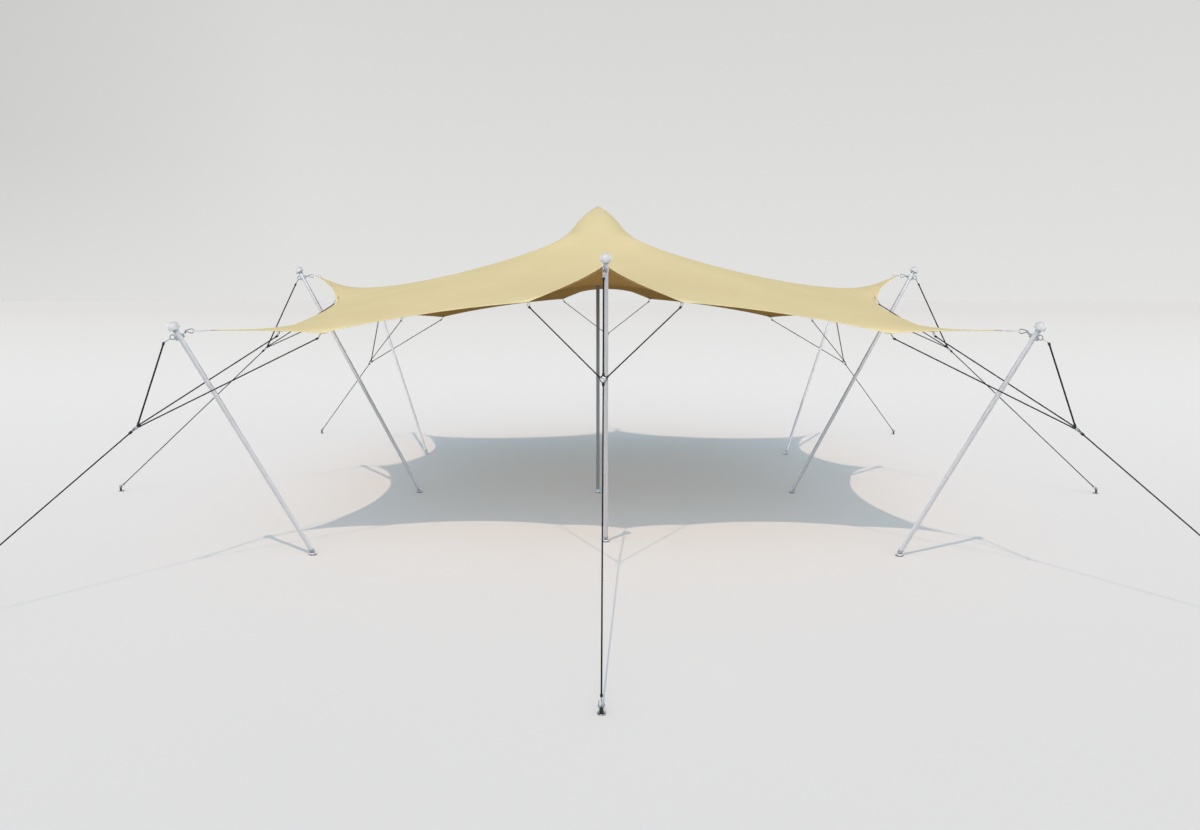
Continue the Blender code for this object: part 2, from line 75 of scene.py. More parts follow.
def nodeName(kind, place):
    words = "".join("_" + letter.lower() if letter.isupper() else letter for letter in place)
    return kind + words


# Small helpers: colours, nodes and pieces


def fromHex(text):
    values = [int(text[i:i + 2], 16) / 255 for i in (1, 3, 5)]
    linear = [v / 12.92 if v <= 0.04045 else ((v + 0.055) / 1.055) ** 2.4 for v in values]
    return (*linear, 1.0)


def addNode(tree, kind, settings=None, inputs=None):
    node = tree.nodes.new(kind)
    for name, value in (settings or {}).items():
        setattr(node, name, value)
    for name, value in (inputs or {}).items():
        if isinstance(value, bpy.types.NodeSocket):
            tree.links.new(value, node.inputs[name])
        else:
            node.inputs[name].default_value = value
    return node


def newMaterial(name, colour, roughness, metallic=0.0, **sockets):
    material = bpy.data.materials.new(name)
    material.use_nodes = True
    shader = material.node_tree.nodes["Principled BSDF"]
    shader.inputs["Base Color"].default_value = fromHex(colour)
    shader.inputs["Roughness"].default_value = roughness
    shader.inputs["Metallic"].default_value = metallic
    for label, value in sockets.items():
        shader.inputs[label].default_value = value
    return material, material.node_tree, shader


def linkTo(tree, source, socket):
    tree.links.new(source, socket)


def blendColours(tree, factor, first, second):
    mix = addNode(tree, "ShaderNodeMix", {"data_type": "RGBA"}, {0: factor})
    mix.inputs["A"].default_value = fromHex(first)
    mix.inputs["B"].default_value = fromHex(second)
    return mix.outputs["Result"]


def spread(tree, value, low, high, toLow, toHigh):
    ranged = addNode(tree, "ShaderNodeMapRange", {}, {0: value, 1: low, 2: high, 3: toLow, 4: toHigh})
    return ranged.outputs[0]


def calculate(tree, operation, first, second=0.0):
    return addNode(tree, "ShaderNodeMath", {"operation": operation}, {0: first, 1: second}).outputs[0]


def scaleTone(tree, tone, strength):
    scaled = addNode(tree, "ShaderNodeVectorMath", {"operation": "SCALE"}, {0: tone, "Scale": strength})
    return scaled.outputs["Vector"]


def noise(tree, where, scale, detail=2.0, rough=0.5):
    made = addNode(tree, "ShaderNodeTexNoise", {}, {"Vector": where, "Scale": scale, "Detail": detail})
    made.inputs["Roughness"].default_value = rough
    return made.outputs["Fac"]


def raiseSurface(tree, shader, height, distance, strength=1.0):
    bump = addNode(tree, "ShaderNodeBump", {}, {"Height": height})
    bump.inputs["Distance"].default_value = distance
    bump.inputs["Strength"].default_value = strength
    linkTo(tree, bump.outputs["Normal"], shader.inputs["Normal"])
    return bump


# Materials


def stretchFabric(name, face):
    # Coated two-way stretch knit of polyester and cotton: matt, with a fine rib, evenly dyed
    material, tree, shader = newMaterial(name, face["colour"], face["roughness"])
    shader.inputs["Sheen Weight"].default_value = face["sheen"]
    shader.inputs["Sheen Roughness"].default_value = 0.5
    shader.inputs["Specular IOR Level"].default_value = 0.0
    where = addNode(tree, "ShaderNodeTexCoord").outputs["Object"]
    # Broad, faint change of tone where the knit is drawn more or less open, about 0.7 m across
    broad = noise(tree, where, 1.4, 2.0)
    tone = blendColours(tree, spread(tree, broad, 0.35, 0.65, 0.0, 1.0), face["dark"], face["light"])
    if "crown" in face:
        # Painted shade: round the pole's head the cloth's colour is darkened, most at the head and fading outwards, to
        # hold back the extra light that its steep cone catches
        start, end, least = face["crown"]
        level = addNode(tree, "ShaderNodeVectorMath", {"operation": "MULTIPLY_ADD"}, {
            0: where, 1: (1.0, 1.0, 0.0), 2: (-tent["poleX"], 0.0, 0.0)})
        aside = addNode(tree, "ShaderNodeVectorMath", {"operation": "LENGTH"}, {0: level.outputs["Vector"]})
        strength = addNode(tree, "ShaderNodeMapRange", {"interpolation_type": "SMOOTHSTEP"}, {
            0: aside.outputs["Value"], 1: start, 2: end, 3: least, 4: 1.0})
        tone = scaleTone(tree, tone, strength.outputs[0])
    linkTo(tree, tone, shader.inputs["Base Color"])
    # Knit ribs 1.2 mm apart on the real cloth, drawn 4 mm apart so that they show close up
    ribScale = 2 * math.pi / 0.004 / 20
    rib = addNode(tree, "ShaderNodeTexWave", {"wave_type": "BANDS", "bands_direction": "X"})
    course = addNode(tree, "ShaderNodeTexWave", {"wave_type": "BANDS", "bands_direction": "Y"})
    for wave in (rib, course):
        linkTo(tree, where, wave.inputs["Vector"])
        wave.inputs["Scale"].default_value = ribScale
        wave.inputs["Distortion"].default_value = 0.6
    knit = calculate(tree, "MULTIPLY", rib.outputs["Fac"], course.outputs["Fac"])
    raiseSurface(tree, shader, knit, 0.0004, face["relief"])
    return material


def polyesterWebbing(name, light, dark):
    # Woven polyester tape: close ribs across the tape, 2 mm apart
    material, tree, shader = newMaterial(name, light, 0.75)
    where = addNode(tree, "ShaderNodeAttribute", {"attribute_name": "wrap"}).outputs["Vector"]
    along = addNode(tree, "ShaderNodeSeparateXYZ", {}, {0: where}).outputs["Z"]
    ribs = calculate(tree, "SINE", calculate(tree, "MULTIPLY", along, 2 * math.pi / 0.002))
    linkTo(tree, blendColours(tree, spread(tree, ribs, -1, 1, 0, 1), dark, light), shader.inputs["Base Color"])
    raiseSurface(tree, shader, ribs, 0.0003)
    return material


def sewingThread():
    # Bonded polyester thread: a little shinier than the cloth that it holds
    material, tree, shader = newMaterial("sewingThread", "#D8C994", 0.5)
    where = addNode(tree, "ShaderNodeTexCoord").outputs["Object"]
    twist = noise(tree, where, 900.0, 1.0)
    linkTo(tree, blendColours(tree, twist, "#C9B987", "#E4D8AC"), shader.inputs["Base Color"])
    return material


def millAluminium(name, dark, light, metallic, shadeBelow=None):
    # Extruded 6082 tube, mill finish: grey oxide over the metal, drawn lines along it, soft reflections
    material, tree, shader = newMaterial(name, light, 0.45, metallic)
    shader.inputs["Specular IOR Level"].default_value = 0.3
    where = addNode(tree, "ShaderNodeAttribute", {"attribute_name": "wrap"}).outputs["Vector"]
    stretched = addNode(tree, "ShaderNodeMapping", {}, {"Vector": where})
    stretched.inputs["Scale"].default_value = (9.0, 9.0, 1.2)
    lines = noise(tree, stretched.outputs["Vector"], 4.0, 5.0, 0.65)
    handled = noise(tree, where, 2.5, 3.0)
    tone = blendColours(tree, spread(tree, lines, 0.3, 0.7, 0, 1), dark, light)
    if shadeBelow:
        # Painted shade: the colour is darkened below about 2 m above the floor, most below 1.3 m, for the canopy's
        # shadow on the lower part of the side masts
        low, high, least = shadeBelow
        height = addNode(tree, "ShaderNodeSeparateXYZ", {}, {
            0: addNode(tree, "ShaderNodeTexCoord").outputs["Object"]}).outputs["Z"]
        tone = scaleTone(tree, tone, spread(tree, height, low, high, least, 1.0))
    linkTo(tree, tone, shader.inputs["Base Color"])
    linkTo(tree, spread(tree, handled, 0.35, 0.7, 0.40, 0.52), shader.inputs["Roughness"])
    raiseSurface(tree, shader, lines, 0.0002, 0.6)
    return material


def stainlessWire():
    # Stainless wire and links as drawn: grey, softly mirror-like, with a faint haze
    material, tree, shader = newMaterial("stainlessWire", "#85888B", 0.24, 1.0)
    where = addNode(tree, "ShaderNodeTexCoord").outputs["Object"]
    haze = noise(tree, where, 60.0, 3.0)
    linkTo(tree, blendColours(tree, haze, "#7E8184", "#8D9093"), shader.inputs["Base Color"])
    linkTo(tree, spread(tree, haze, 0.3, 0.7, 0.18, 0.32), shader.inputs["Roughness"])
    return material


def zincPlatedSteel():
    # Bright zinc plate on pressed steel: pale, slightly blue, with soft cloudy patches
    material, tree, shader = newMaterial("zincPlatedSteel", "#9AA0A6", 0.42, 0.8)
    where = addNode(tree, "ShaderNodeTexCoord").outputs["Object"]
    clouds = noise(tree, where, 35.0, 4.0)
    tone = blendColours(tree, spread(tree, clouds, 0.35, 0.65, 0, 1), "#8D9398", "#A6ABB0")
    linkTo(tree, tone, shader.inputs["Base Color"])
    linkTo(tree, spread(tree, clouds, 0.3, 0.7, 0.50, 0.36), shader.inputs["Roughness"])
    raiseSurface(tree, shader, noise(tree, where, 500.0, 2.0), 0.0001, 0.5)
    return material


def mouldedNylon():
    # Injection-moulded off-white nylon: satin, with a fine spark-eroded grain
    material, tree, shader = newMaterial("mouldedNylon", "#B8B6B6", 0.45)
    shader.inputs["Subsurface Weight"].default_value = 0.05
    shader.inputs["Subsurface Radius"].default_value = (0.004, 0.004, 0.003)
    where = addNode(tree, "ShaderNodeTexCoord").outputs["Object"]
    dust = noise(tree, where, 14.0, 3.0)
    linkTo(tree, blendColours(tree, dust, "#B4B2B2", "#BCBABA"), shader.inputs["Base Color"])
    raiseSurface(tree, shader, noise(tree, where, 700.0, 2.0), 0.0001, 0.5)
    return material


def mouldedRubber():
    # Black moulded rubber: dull, slightly dusty on its flats
    material, tree, shader = newMaterial("mouldedRubber", "#0F0F0E", 0.62)
    where = addNode(tree, "ShaderNodeTexCoord").outputs["Object"]
    dust = noise(tree, where, 45.0, 4.0)
    linkTo(tree, blendColours(tree, dust, "#0A0A0A", "#181817"), shader.inputs["Base Color"])
    linkTo(tree, spread(tree, dust, 0.3, 0.7, 0.5, 0.75), shader.inputs["Roughness"])
    raiseSurface(tree, shader, noise(tree, where, 900.0, 2.0), 0.0001, 0.6)
    return material


def braidedPolyester():
    # Black 16-plait polyester rope: two sets of plaits that cross in small diamonds
    braid = {"plaits": 8, "turnLength": 0.035, "relief": 0.0008}
    material, tree, shader = newMaterial("braidedPolyester", "#141413", 0.8)
    shader.inputs["Specular IOR Level"].default_value = 0.25
    where = addNode(tree, "ShaderNodeAttribute", {"attribute_name": "wrap"}).outputs["Vector"]
    parts = addNode(tree, "ShaderNodeSeparateXYZ", {}, {0: where}).outputs
    angle = calculate(tree, "MULTIPLY", calculate(tree, "ARCTAN2", parts["Y"], parts["X"]), braid["plaits"] / 2)
    run = calculate(tree, "MULTIPLY", parts["Z"], math.pi * braid["plaits"] / braid["turnLength"])
    left = calculate(tree, "SINE", calculate(tree, "ADD", run, angle))
    right = calculate(tree, "SINE", calculate(tree, "SUBTRACT", run, angle))
    diamonds = calculate(tree, "MULTIPLY", left, right)
    plait = calculate(tree, "ABSOLUTE", diamonds)
    linkTo(tree, blendColours(tree, plait, "#0C0C0C", "#1C1C1B"), shader.inputs["Base Color"])
    raiseSurface(tree, shader, plait, braid["relief"])
    return material


materials = {
    "fabricTop": stretchFabric("sandStretchFabric", {
        "colour": "#CEC097", "dark": "#CDBF95", "light": "#D0C299", "roughness": 0.9, "sheen": 0.0, "relief": 0.5,
        # The top's colour is darkened round the pole's head: painted shade
        "crown": (0.25, 0.85, 0.83)}),
    "fabricUnder": stretchFabric("brownStretchFabric", {
        "colour": "#997845", "dark": "#957441", "light": "#9D7C49", "roughness": 0.9, "sheen": 0.0, "relief": 0.5}),
    "webbing": polyesterWebbing("sandWebbing", "#DCCE9F", "#C9BA8A"),
    "paleWebbing": polyesterWebbing("undyedWebbing", "#D6D5D2", "#C8C7C3"),
    "thread": sewingThread(),
    "aluminium": millAluminium("millAluminium", "#B8B4B5", "#C7C3C5", 0.45),
    # A copy of the mill aluminium with painted shade on its lower part, for the side masts
    "shadedLowAluminium": millAluminium("shadedLowAluminium", "#B8B4B5", "#C7C3C5", 0.45, (1.3, 2.0, 0.68)),
    # A darker copy of the mill aluminium for the centre pole: painted shade, for the pole standing in the canopy's
    # shadow
    "shadedPoleAluminium": millAluminium("poleAluminiumPaintedShade", "#706F6E", "#7E7D7C", 0.25),
    "stainless": stainlessWire(),
    "zinc": zincPlatedSteel(),
    "nylon": mouldedNylon(),
    "rubber": mouldedRubber(),
    "rope": braidedPolyester(),
}
print("stretch tent: materials made")


# Shapes: each one gathers points, faces, a slot for each face, and where a point lies round and along it


def newShape():
    return {"points": [], "faces": [], "slots": [], "wrap": []}


def addRings(shape, rings, lengths, slot=0, closed=False, capped=True):
    first, count, total = len(shape["points"]), len(rings[0]), len(rings)
    for ring, length in zip(rings, lengths):
        for k, point in enumerate(ring):
            turn = 2 * math.pi * k / count
            shape["points"].append(tuple(point))
            shape["wrap"].append((math.cos(turn), math.sin(turn), length))
    for i in range(total if closed else total - 1):
        here, there = first + i * count, first + (i + 1) % total * count
        for k in range(count):
            j = (k + 1) % count
            shape["faces"].append((here + k, here + j, there + j, there + k))
            shape["slots"].append(slot)
    if capped and not closed:
        last = first + (total - 1) * count
        shape["faces"] += [tuple(range(first + count - 1, first - 1, -1)), tuple(range(last, last + count))]
        shape["slots"] += [slot, slot]


def circle(centre, side, other, radius, sides):
    turns = [2 * math.pi * k / sides for k in range(sides)]
    return [centre + (side * math.cos(t) + other * math.sin(t)) * radius for t in turns]


def sweep(shape, path, radius, sides=12, slot=0, closed=False, normal=None):
    points = [Vector(p) for p in path]
    radii = radius if isinstance(radius, list) else [radius] * len(points)
    rings, lengths, run, side = [], [], 0.0, normal
    for i, point in enumerate(points):
        before = points[i - 1] if i or closed else point
        after = points[(i + 1) % len(points)] if i < len(points) - 1 or closed else point
        ahead = (after - before).normalized()
        side = ahead.orthogonal() if side is None else side
        side = (side - ahead * side.dot(ahead)).normalized()
        run += (point - points[i - 1]).length if i else 0.0
        rings.append(circle(point, side, ahead.cross(side), radii[i], sides))
        lengths.append(run)
    addRings(shape, rings, lengths, slot, closed)


def lathe(shape, base, axis, profile, sides=32, slot=0):
    axis = axis.normalized()
    side = axis.orthogonal().normalized()
    least = 0.0002  # the hole left at a pole is this small, and is capped
    rings = [circle(base + axis * h, side, axis.cross(side), max(r, least), sides) for r, h in profile]
    addRings(shape, rings, [h for r, h in profile], slot)


def roundRod(shape, start, end, radius, sides=12, slot=0, steps=4):
    # A rod with a half-round end at both ends
    ahead = (end - start).normalized()
    turns = [math.pi / 2 * i / steps for i in range(steps + 1)]
    path = [start + ahead * radius * (1 - math.cos(t)) for t in turns]
    path += [end - ahead * radius * (1 - math.cos(t)) for t in reversed(turns)]
    radii = [max(radius * math.sin(t), 0.0002) for t in turns]
    sweep(shape, path, radii + radii[::-1], sides, slot)


def loftBar(shape, centre, axes, size, bevel, slot=0):
    # A block with rounded edges: its size runs along the three axes
    made = bmesh.new()
    bmesh.ops.create_cube(made, size=1.0)
    bmesh.ops.scale(made, vec=size, verts=made.verts)
    bmesh.ops.bevel(made, geom=made.edges[:], offset=bevel, segments=2, profile=0.5, affect="EDGES")
    turn = Matrix(axes).transposed()
    first = len(shape["points"])
    for corner in made.verts:
        shape["points"].append(tuple(centre + turn @ corner.co))
        shape["wrap"].append((1.0, 0.0, corner.co.z))
    for face in made.faces:
        shape["faces"].append(tuple(first + corner.index for corner in face.verts))
        shape["slots"].append(slot)
    made.free()


def strap(shape, path, across, width, thickness, slot=0):
    # A flat tape along a path, with a slightly rounded section. Its way across and width may change along it
    points = [Vector(p) for p in path]
    ways = across if isinstance(across, list) else [across] * len(points)
    widths = width if isinstance(width, list) else [width] * len(points)
    rings, lengths, run = [], [], 0.0
    for i, point in enumerate(points):
        ahead = (points[min(i + 1, len(points) - 1)] - points[max(i - 1, 0)]).normalized()
        side = (ways[i] - ahead * ways[i].dot(ahead)).normalized()
        thick = ahead.cross(side) * thickness / 2
        run += (point - points[i - 1]).length if i else 0.0
        half = side * widths[i] / 2
        rings.append([
            point - half * 0.96 - thick, point + half * 0.96 - thick, point + half,
            point + half * 0.96 + thick, point - half * 0.96 + thick, point - half])
        lengths.append(run)
    addRings(shape, rings, lengths, slot)


def stadiumPath(near, far, side, width, wire, corner=8):
    # The middle line of a flat link with round ends that reaches from near to far
    ahead = (far - near).normalized()
    side = (side - ahead * side.dot(ahead)).normalized()
    bend = width / 2 - wire
    first, last = near + ahead * (width / 2), far - ahead * (width / 2)
    path = []
    for centre, start in ((last, -math.pi / 2), (first, math.pi / 2)):
        for i in range(corner + 1):
            turn = start + math.pi * i / corner
            path.append(centre + (ahead * math.cos(turn) + side * math.sin(turn)) * bend)
    return path, ahead.cross(side)


def pearPath(near, far, side, widest, narrowest, wire, corner=10):
    # The middle line of a flat pear-shaped link: wide at near, narrow at far
    ahead = (far - near).normalized()
    side = (side - ahead * side.dot(ahead)).normalized()
    large, small = widest / 2 - wire, narrowest / 2 - wire
    first, last = near + ahead * (widest / 2), far - ahead * (narrowest / 2)
    slant = math.acos((large - small) / (last - first).length)
    path = []
    for centre, bend, start, end in ((first, large, slant, 2 * math.pi - slant), (last, small, -slant, slant)):
        for i in range(corner + 1):
            turn = start + (end - start) * i / corner
            path.append(centre + (ahead * math.cos(turn) + side * math.sin(turn)) * bend)
    return path, ahead.cross(side)


def finishShape(name, shape, slots, sharpest=38):
    mesh = bpy.data.meshes.new(name)
    mesh.from_pydata(shape["points"], [], shape["faces"])
    mesh.polygons.foreach_set("material_index", shape["slots"])
    wrap = mesh.attributes.new("wrap", "FLOAT_VECTOR", "POINT")
    wrap.data.foreach_set("vector", np.array(shape["wrap"], np.float32).ravel())
    outward = bmesh.new()
    outward.from_mesh(mesh)
    bmesh.ops.recalc_face_normals(outward, faces=outward.faces)
    outward.to_mesh(mesh)
    outward.free()
    mesh.shade_smooth()
    mesh.set_sharp_from_angle(angle=math.radians(sharpest))
    for slot in slots:
        mesh.materials.append(materials[slot])
    piece = bpy.data.objects.new(name, mesh)
    bpy.context.scene.collection.objects.link(piece)
    return piece


def joinPieces(pieces):
    with bpy.context.temp_override(
        active_object=pieces[0], object=pieces[0], selected_objects=pieces, selected_editable_objects=pieces
    ):
        bpy.ops.object.join()
    return pieces[0]


def dress(piece, slot, *nodes):
    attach(piece, "root")
    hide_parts(*nodes)
    return piece


# Geometry Nodes: a tree is built here, run on a plain mesh, and its result is kept as a plain mesh


def newTree(name, inputs):
    tree = bpy.data.node_groups.new(name, "GeometryNodeTree")
    tree.interface.new_socket("Geometry", in_out="INPUT", socket_type="NodeSocketGeometry")
    for label, (kind, value) in inputs.items():
        socket = tree.interface.new_socket(label, in_out="INPUT", socket_type=kind)
        if value is not None:
            socket.default_value = value
    tree.interface.new_socket("Geometry", in_out="OUTPUT", socket_type="NodeSocketGeometry")
    return tree, tree.nodes.new("NodeGroupInput").outputs, tree.nodes.new("NodeGroupOutput")


def runTree(piece, tree, values):
    modifier = piece.modifiers.new("made by nodes", "NODES")
    modifier.node_group = tree
    for item in tree.interface.items_tree:
        if item.in_out == "INPUT" and item.name in values:
            modifier[item.identifier] = values[item.name]
    seen = piece.evaluated_get(bpy.context.evaluated_depsgraph_get())
    made = bpy.data.meshes.new_from_object(seen)
    piece.modifiers.remove(modifier)
    piece.data = made
    return piece


def lineMesh(name, lines, facing=None, widths=None):
    # Open lines as edges, each point with the way that it faces and its rope's radius
    points = [tuple(p) for line in lines for p in line]
    edges, first = [], 0
    for line in lines:
        edges += [(first + i, first + i + 1) for i in range(len(line) - 1)]
        first += len(line)
    mesh = bpy.data.meshes.new(name)
    mesh.from_pydata(points, edges, [])
    if facing is not None:
        kept = mesh.attributes.new("facing", "FLOAT_VECTOR", "POINT")
        kept.data.foreach_set("vector", np.array(facing, np.float32).ravel())
    if widths is not None:
        kept = mesh.attributes.new("ropeRadius", "FLOAT", "POINT")
        kept.data.foreach_set("value", np.array(widths, np.float32))
    piece = bpy.data.objects.new(name, mesh)
    bpy.context.scene.collection.objects.link(piece)
    return piece


def ropeTree():
    tree, given, result = newTree("ropeAlongLine", {
        "Sides": ("NodeSocketInt", 14),
        "Ring Spacing": ("NodeSocketFloat", 0.05),
        "Rope": ("NodeSocketMaterial", None)})
    line = addNode(tree, "GeometryNodeMeshToCurve", {}, {"Mesh": given["Geometry"]})
    even = addNode(tree, "GeometryNodeResampleCurve", {"mode": "LENGTH"}, {
        "Curve": line.outputs["Curve"], "Length": given["Ring Spacing"]})
    radius = addNode(tree, "GeometryNodeInputNamedAttribute", {"data_type": "FLOAT"}, {"Name": "ropeRadius"})
    spline = addNode(tree, "GeometryNodeSplineParameter")
    runs = addNode(tree, "GeometryNodeCaptureAttribute", {}, {"Geometry": even.outputs["Curve"]})
    runs.capture_items.new("FLOAT", "Run")
    linkTo(tree, spline.outputs["Length"], runs.inputs["Run"])
    section = addNode(tree, "GeometryNodeCurvePrimitiveCircle", {"mode": "RADIUS"}, {
        "Resolution": given["Sides"], "Radius": 1.0})
    turns = addNode(tree, "GeometryNodeCaptureAttribute", {}, {"Geometry": section.outputs["Curve"]})
    turns.capture_items.new("VECTOR", "Turn")
    linkTo(tree, addNode(tree, "GeometryNodeInputPosition").outputs["Position"], turns.inputs["Turn"])
    tube = addNode(tree, "GeometryNodeCurveToMesh", {}, {
        "Curve": runs.outputs["Geometry"], "Profile Curve": turns.outputs["Geometry"], "Fill Caps": True})
    if "Scale" in tube.inputs:
        linkTo(tree, radius.outputs["Attribute"], tube.inputs["Scale"])
    parts = addNode(tree, "ShaderNodeSeparateXYZ", {}, {0: turns.outputs["Turn"]})
    wrap = addNode(tree, "ShaderNodeCombineXYZ", {}, {
        "X": parts.outputs["X"], "Y": parts.outputs["Y"], "Z": runs.outputs["Run"]})
    stored = addNode(tree, "GeometryNodeStoreNamedAttribute", {"data_type": "FLOAT_VECTOR", "domain": "POINT"}, {
        "Geometry": tube.outputs["Mesh"], "Name": "wrap", "Value": wrap.outputs["Vector"]})
    smooth = addNode(tree, "GeometryNodeSetShadeSmooth", {}, {"Geometry": stored.outputs["Geometry"]})
    real = addNode(tree, "GeometryNodeRealizeInstances", {}, {"Geometry": smooth.outputs["Geometry"]})
    coloured = addNode(tree, "GeometryNodeSetMaterial", {}, {
        "Geometry": real.outputs["Geometry"], "Material": given["Rope"]})
    linkTo(tree, coloured.outputs["Geometry"], result.inputs["Geometry"])
    return tree


def stitchTree():
    tree, given, result = newTree("stitchesAlongLine", {
        "Pitch": ("NodeSocketFloat", 0.014),
        "Stitch Length": ("NodeSocketFloat", 0.009),
        "Thread Radius": ("NodeSocketFloat", 0.0011),
        "Thread": ("NodeSocketMaterial", None)})
    line = addNode(tree, "GeometryNodeMeshToCurve", {}, {"Mesh": given["Geometry"]})
    even = addNode(tree, "GeometryNodeResampleCurve", {"mode": "LENGTH"}, {
        "Curve": line.outputs["Curve"], "Length": given["Pitch"]})
    facing = addNode(tree, "GeometryNodeInputNamedAttribute", {"data_type": "FLOAT_VECTOR"}, {"Name": "facing"})
    ahead = addNode(tree, "GeometryNodeInputTangent")
    stitch = addNode(tree, "GeometryNodeMeshCylinder", {"fill_type": "NGON"}, {
        "Vertices": 4, "Radius": given["Thread Radius"], "Depth": given["Stitch Length"]})
    along = addNode(tree, "FunctionNodeAlignRotationToVector", {"axis": "Z"}, {"Vector": ahead.outputs["Tangent"]})
    turned = addNode(tree, "FunctionNodeAlignRotationToVector", {"axis": "X", "pivot_axis": "Z"}, {
        "Rotation": along.outputs["Rotation"], "Vector": facing.outputs["Attribute"]})
    placed = addNode(tree, "GeometryNodeInstanceOnPoints", {}, {
        "Points": even.outputs["Curve"], "Instance": stitch.outputs["Mesh"], "Rotation": turned.outputs["Rotation"]})
    real = addNode(tree, "GeometryNodeRealizeInstances", {}, {"Geometry": placed.outputs["Instances"]})
    coloured = addNode(tree, "GeometryNodeSetMaterial", {}, {
        "Geometry": real.outputs["Geometry"], "Material": given["Thread"]})
    linkTo(tree, coloured.outputs["Geometry"], result.inputs["Geometry"])
    return tree


def boltTree():
    tree, given, result = newTree("hexHeadsOnPoints", {
        "Across Corners": ("NodeSocketFloat", 0.016),
        "Head Height": ("NodeSocketFloat", 0.006),
        "Steel": ("NodeSocketMaterial", None)})
    facing = addNode(tree, "GeometryNodeInputNamedAttribute", {"data_type": "FLOAT_VECTOR"}, {"Name": "facing"})
    half = addNode(tree, "ShaderNodeMath", {"operation": "MULTIPLY"}, {0: given["Across Corners"], 1: 0.5})
    head = addNode(tree, "GeometryNodeMeshCylinder", {"fill_type": "NGON"}, {
        "Vertices": 6, "Radius": half.outputs[0], "Depth": given["Head Height"]})
    washerRadius = addNode(tree, "ShaderNodeMath", {"operation": "MULTIPLY"}, {0: given["Across Corners"], 1: 0.62})
    washerDepth = addNode(tree, "ShaderNodeMath", {"operation": "MULTIPLY"}, {0: given["Head Height"], 1: 0.35})
    washer = addNode(tree, "GeometryNodeMeshCylinder", {"fill_type": "NGON"}, {
        "Vertices": 24, "Radius": washerRadius.outputs[0], "Depth": washerDepth.outputs[0]})
    lower = addNode(tree, "ShaderNodeMath", {"operation": "MULTIPLY"}, {0: given["Head Height"], 1: -0.45})
    offset = addNode(tree, "ShaderNodeCombineXYZ", {}, {"Z": lower.outputs[0]})
    below = addNode(tree, "GeometryNodeTransform", {}, {
        "Geometry": washer.outputs["Mesh"], "Translation": offset.outputs["Vector"]})
    both = addNode(tree, "GeometryNodeJoinGeometry")
    linkTo(tree, head.outputs["Mesh"], both.inputs["Geometry"])
    linkTo(tree, below.outputs["Geometry"], both.inputs["Geometry"])
    turned = addNode(tree, "FunctionNodeAlignRotationToVector", {"axis": "Z"}, {"Vector": facing.outputs["Attribute"]})
    placed = addNode(tree, "GeometryNodeInstanceOnPoints", {}, {
        "Points": given["Geometry"], "Instance": both.outputs["Geometry"], "Rotation": turned.outputs["Rotation"]})
    real = addNode(tree, "GeometryNodeRealizeInstances", {}, {"Geometry": placed.outputs["Instances"]})
    coloured = addNode(tree, "GeometryNodeSetMaterial", {}, {
        "Geometry": real.outputs["Geometry"], "Material": given["Steel"]})
    linkTo(tree, coloured.outputs["Geometry"], result.inputs["Geometry"])
    return tree


trees = {"rope": ropeTree(), "stitch": stitchTree(), "bolt": boltTree()}


# Where things are at each place


def isCorner(place):
    return 0 not in places[place]


def setAt(place, name):
    signX, signY = places[place]
    values = tent[("corner" if isCorner(place) else "side") + name]
    return Vector((signX * values[0], signY * values[1], *values[2:])).to_3d()


def guide(place):
    # The lines and points that every piece at this place is set on
    foot, cap, ring, anchor = (setAt(place, name) for name in ("Foot", "Cap", "Ring", "Anchor"))
    along = (cap - foot).normalized()
    out = Vector((along.x, along.y, 0.0)).normalized()
    side = up.cross(out)
    foot, cap = foot + side * tent["mastAside"], cap + side * tent["mastAside"]
    ring, anchor = ring + side * tent["guyAside"], anchor + side * tent["guyAside"]
    pull = anchor + up * rigging["pullHeight"]
    return {
        "foot": foot, "cap": cap, "ring": ring, "anchor": anchor, "pull": pull, "along": along, "out": out,
        "side": side, "collar": cap - along * mast["collarBelowCap"], "upGuy": (ring - pull).normalized(),
        "tail": setAt(place, "Tail"), "loops": loopPoints(place),
        "tip": setAt(place, "Tip") + up * (tent["frontTipRise"] if places[place][0] == 0 else 0.0)}


# Canopy

canopy = {
    "thickness": 0.0040,
    "innerLoop": (3.530, 3.555, 0.774, 2.727),  # x on a side edge, y on a front edge, off the middle, height
    "outerLoop": (3.510, 3.411, 2.900, 2.409),
    "tailEdgePull": 1.2,
    "longEdgePull": 2.6,
    "radialPull": ((0.0, 0.5, 1.0), (0.5, 0.7, 2.6)),  # where between head and edge, and the pull there
    "tailSteps": 6,
    "longSteps": 9,
    "radialSteps": 18,
    "endSpacing": 0.4,  # how much closer the rings lie at both ends than evenly
    "rimCrease": 0.20,
    "headRings": (0.0, 0.05, 0.10, 0.16, 0.22, 0.28, 0.33, 0.37),
    "headSlope": 0.408,
    "headCurve": 1.340,
}


def loopPoints(place):
    nearX, nearY, nearOff, nearZ = canopy["innerLoop"]
    farX, farY, farOff, farZ = canopy["outerLoop"]
    signX, signY = places[place]
    if isCorner(place):
        return [Vector((signX * farOff, signY * farY, farZ)), Vector((signX * farX, signY * farOff, farZ))]
    if signX == 0:
        return [Vector((sign * nearOff, signY * nearY, nearZ)) for sign in (-1, 1)]
    return [Vector((signX * nearX, sign * nearOff, nearZ)) for sign in (-1, 1)]


def headHeight(radius):
    return tent["peakHeight"] - canopy["headSlope"] * radius - canopy["headCurve"] * radius * radius


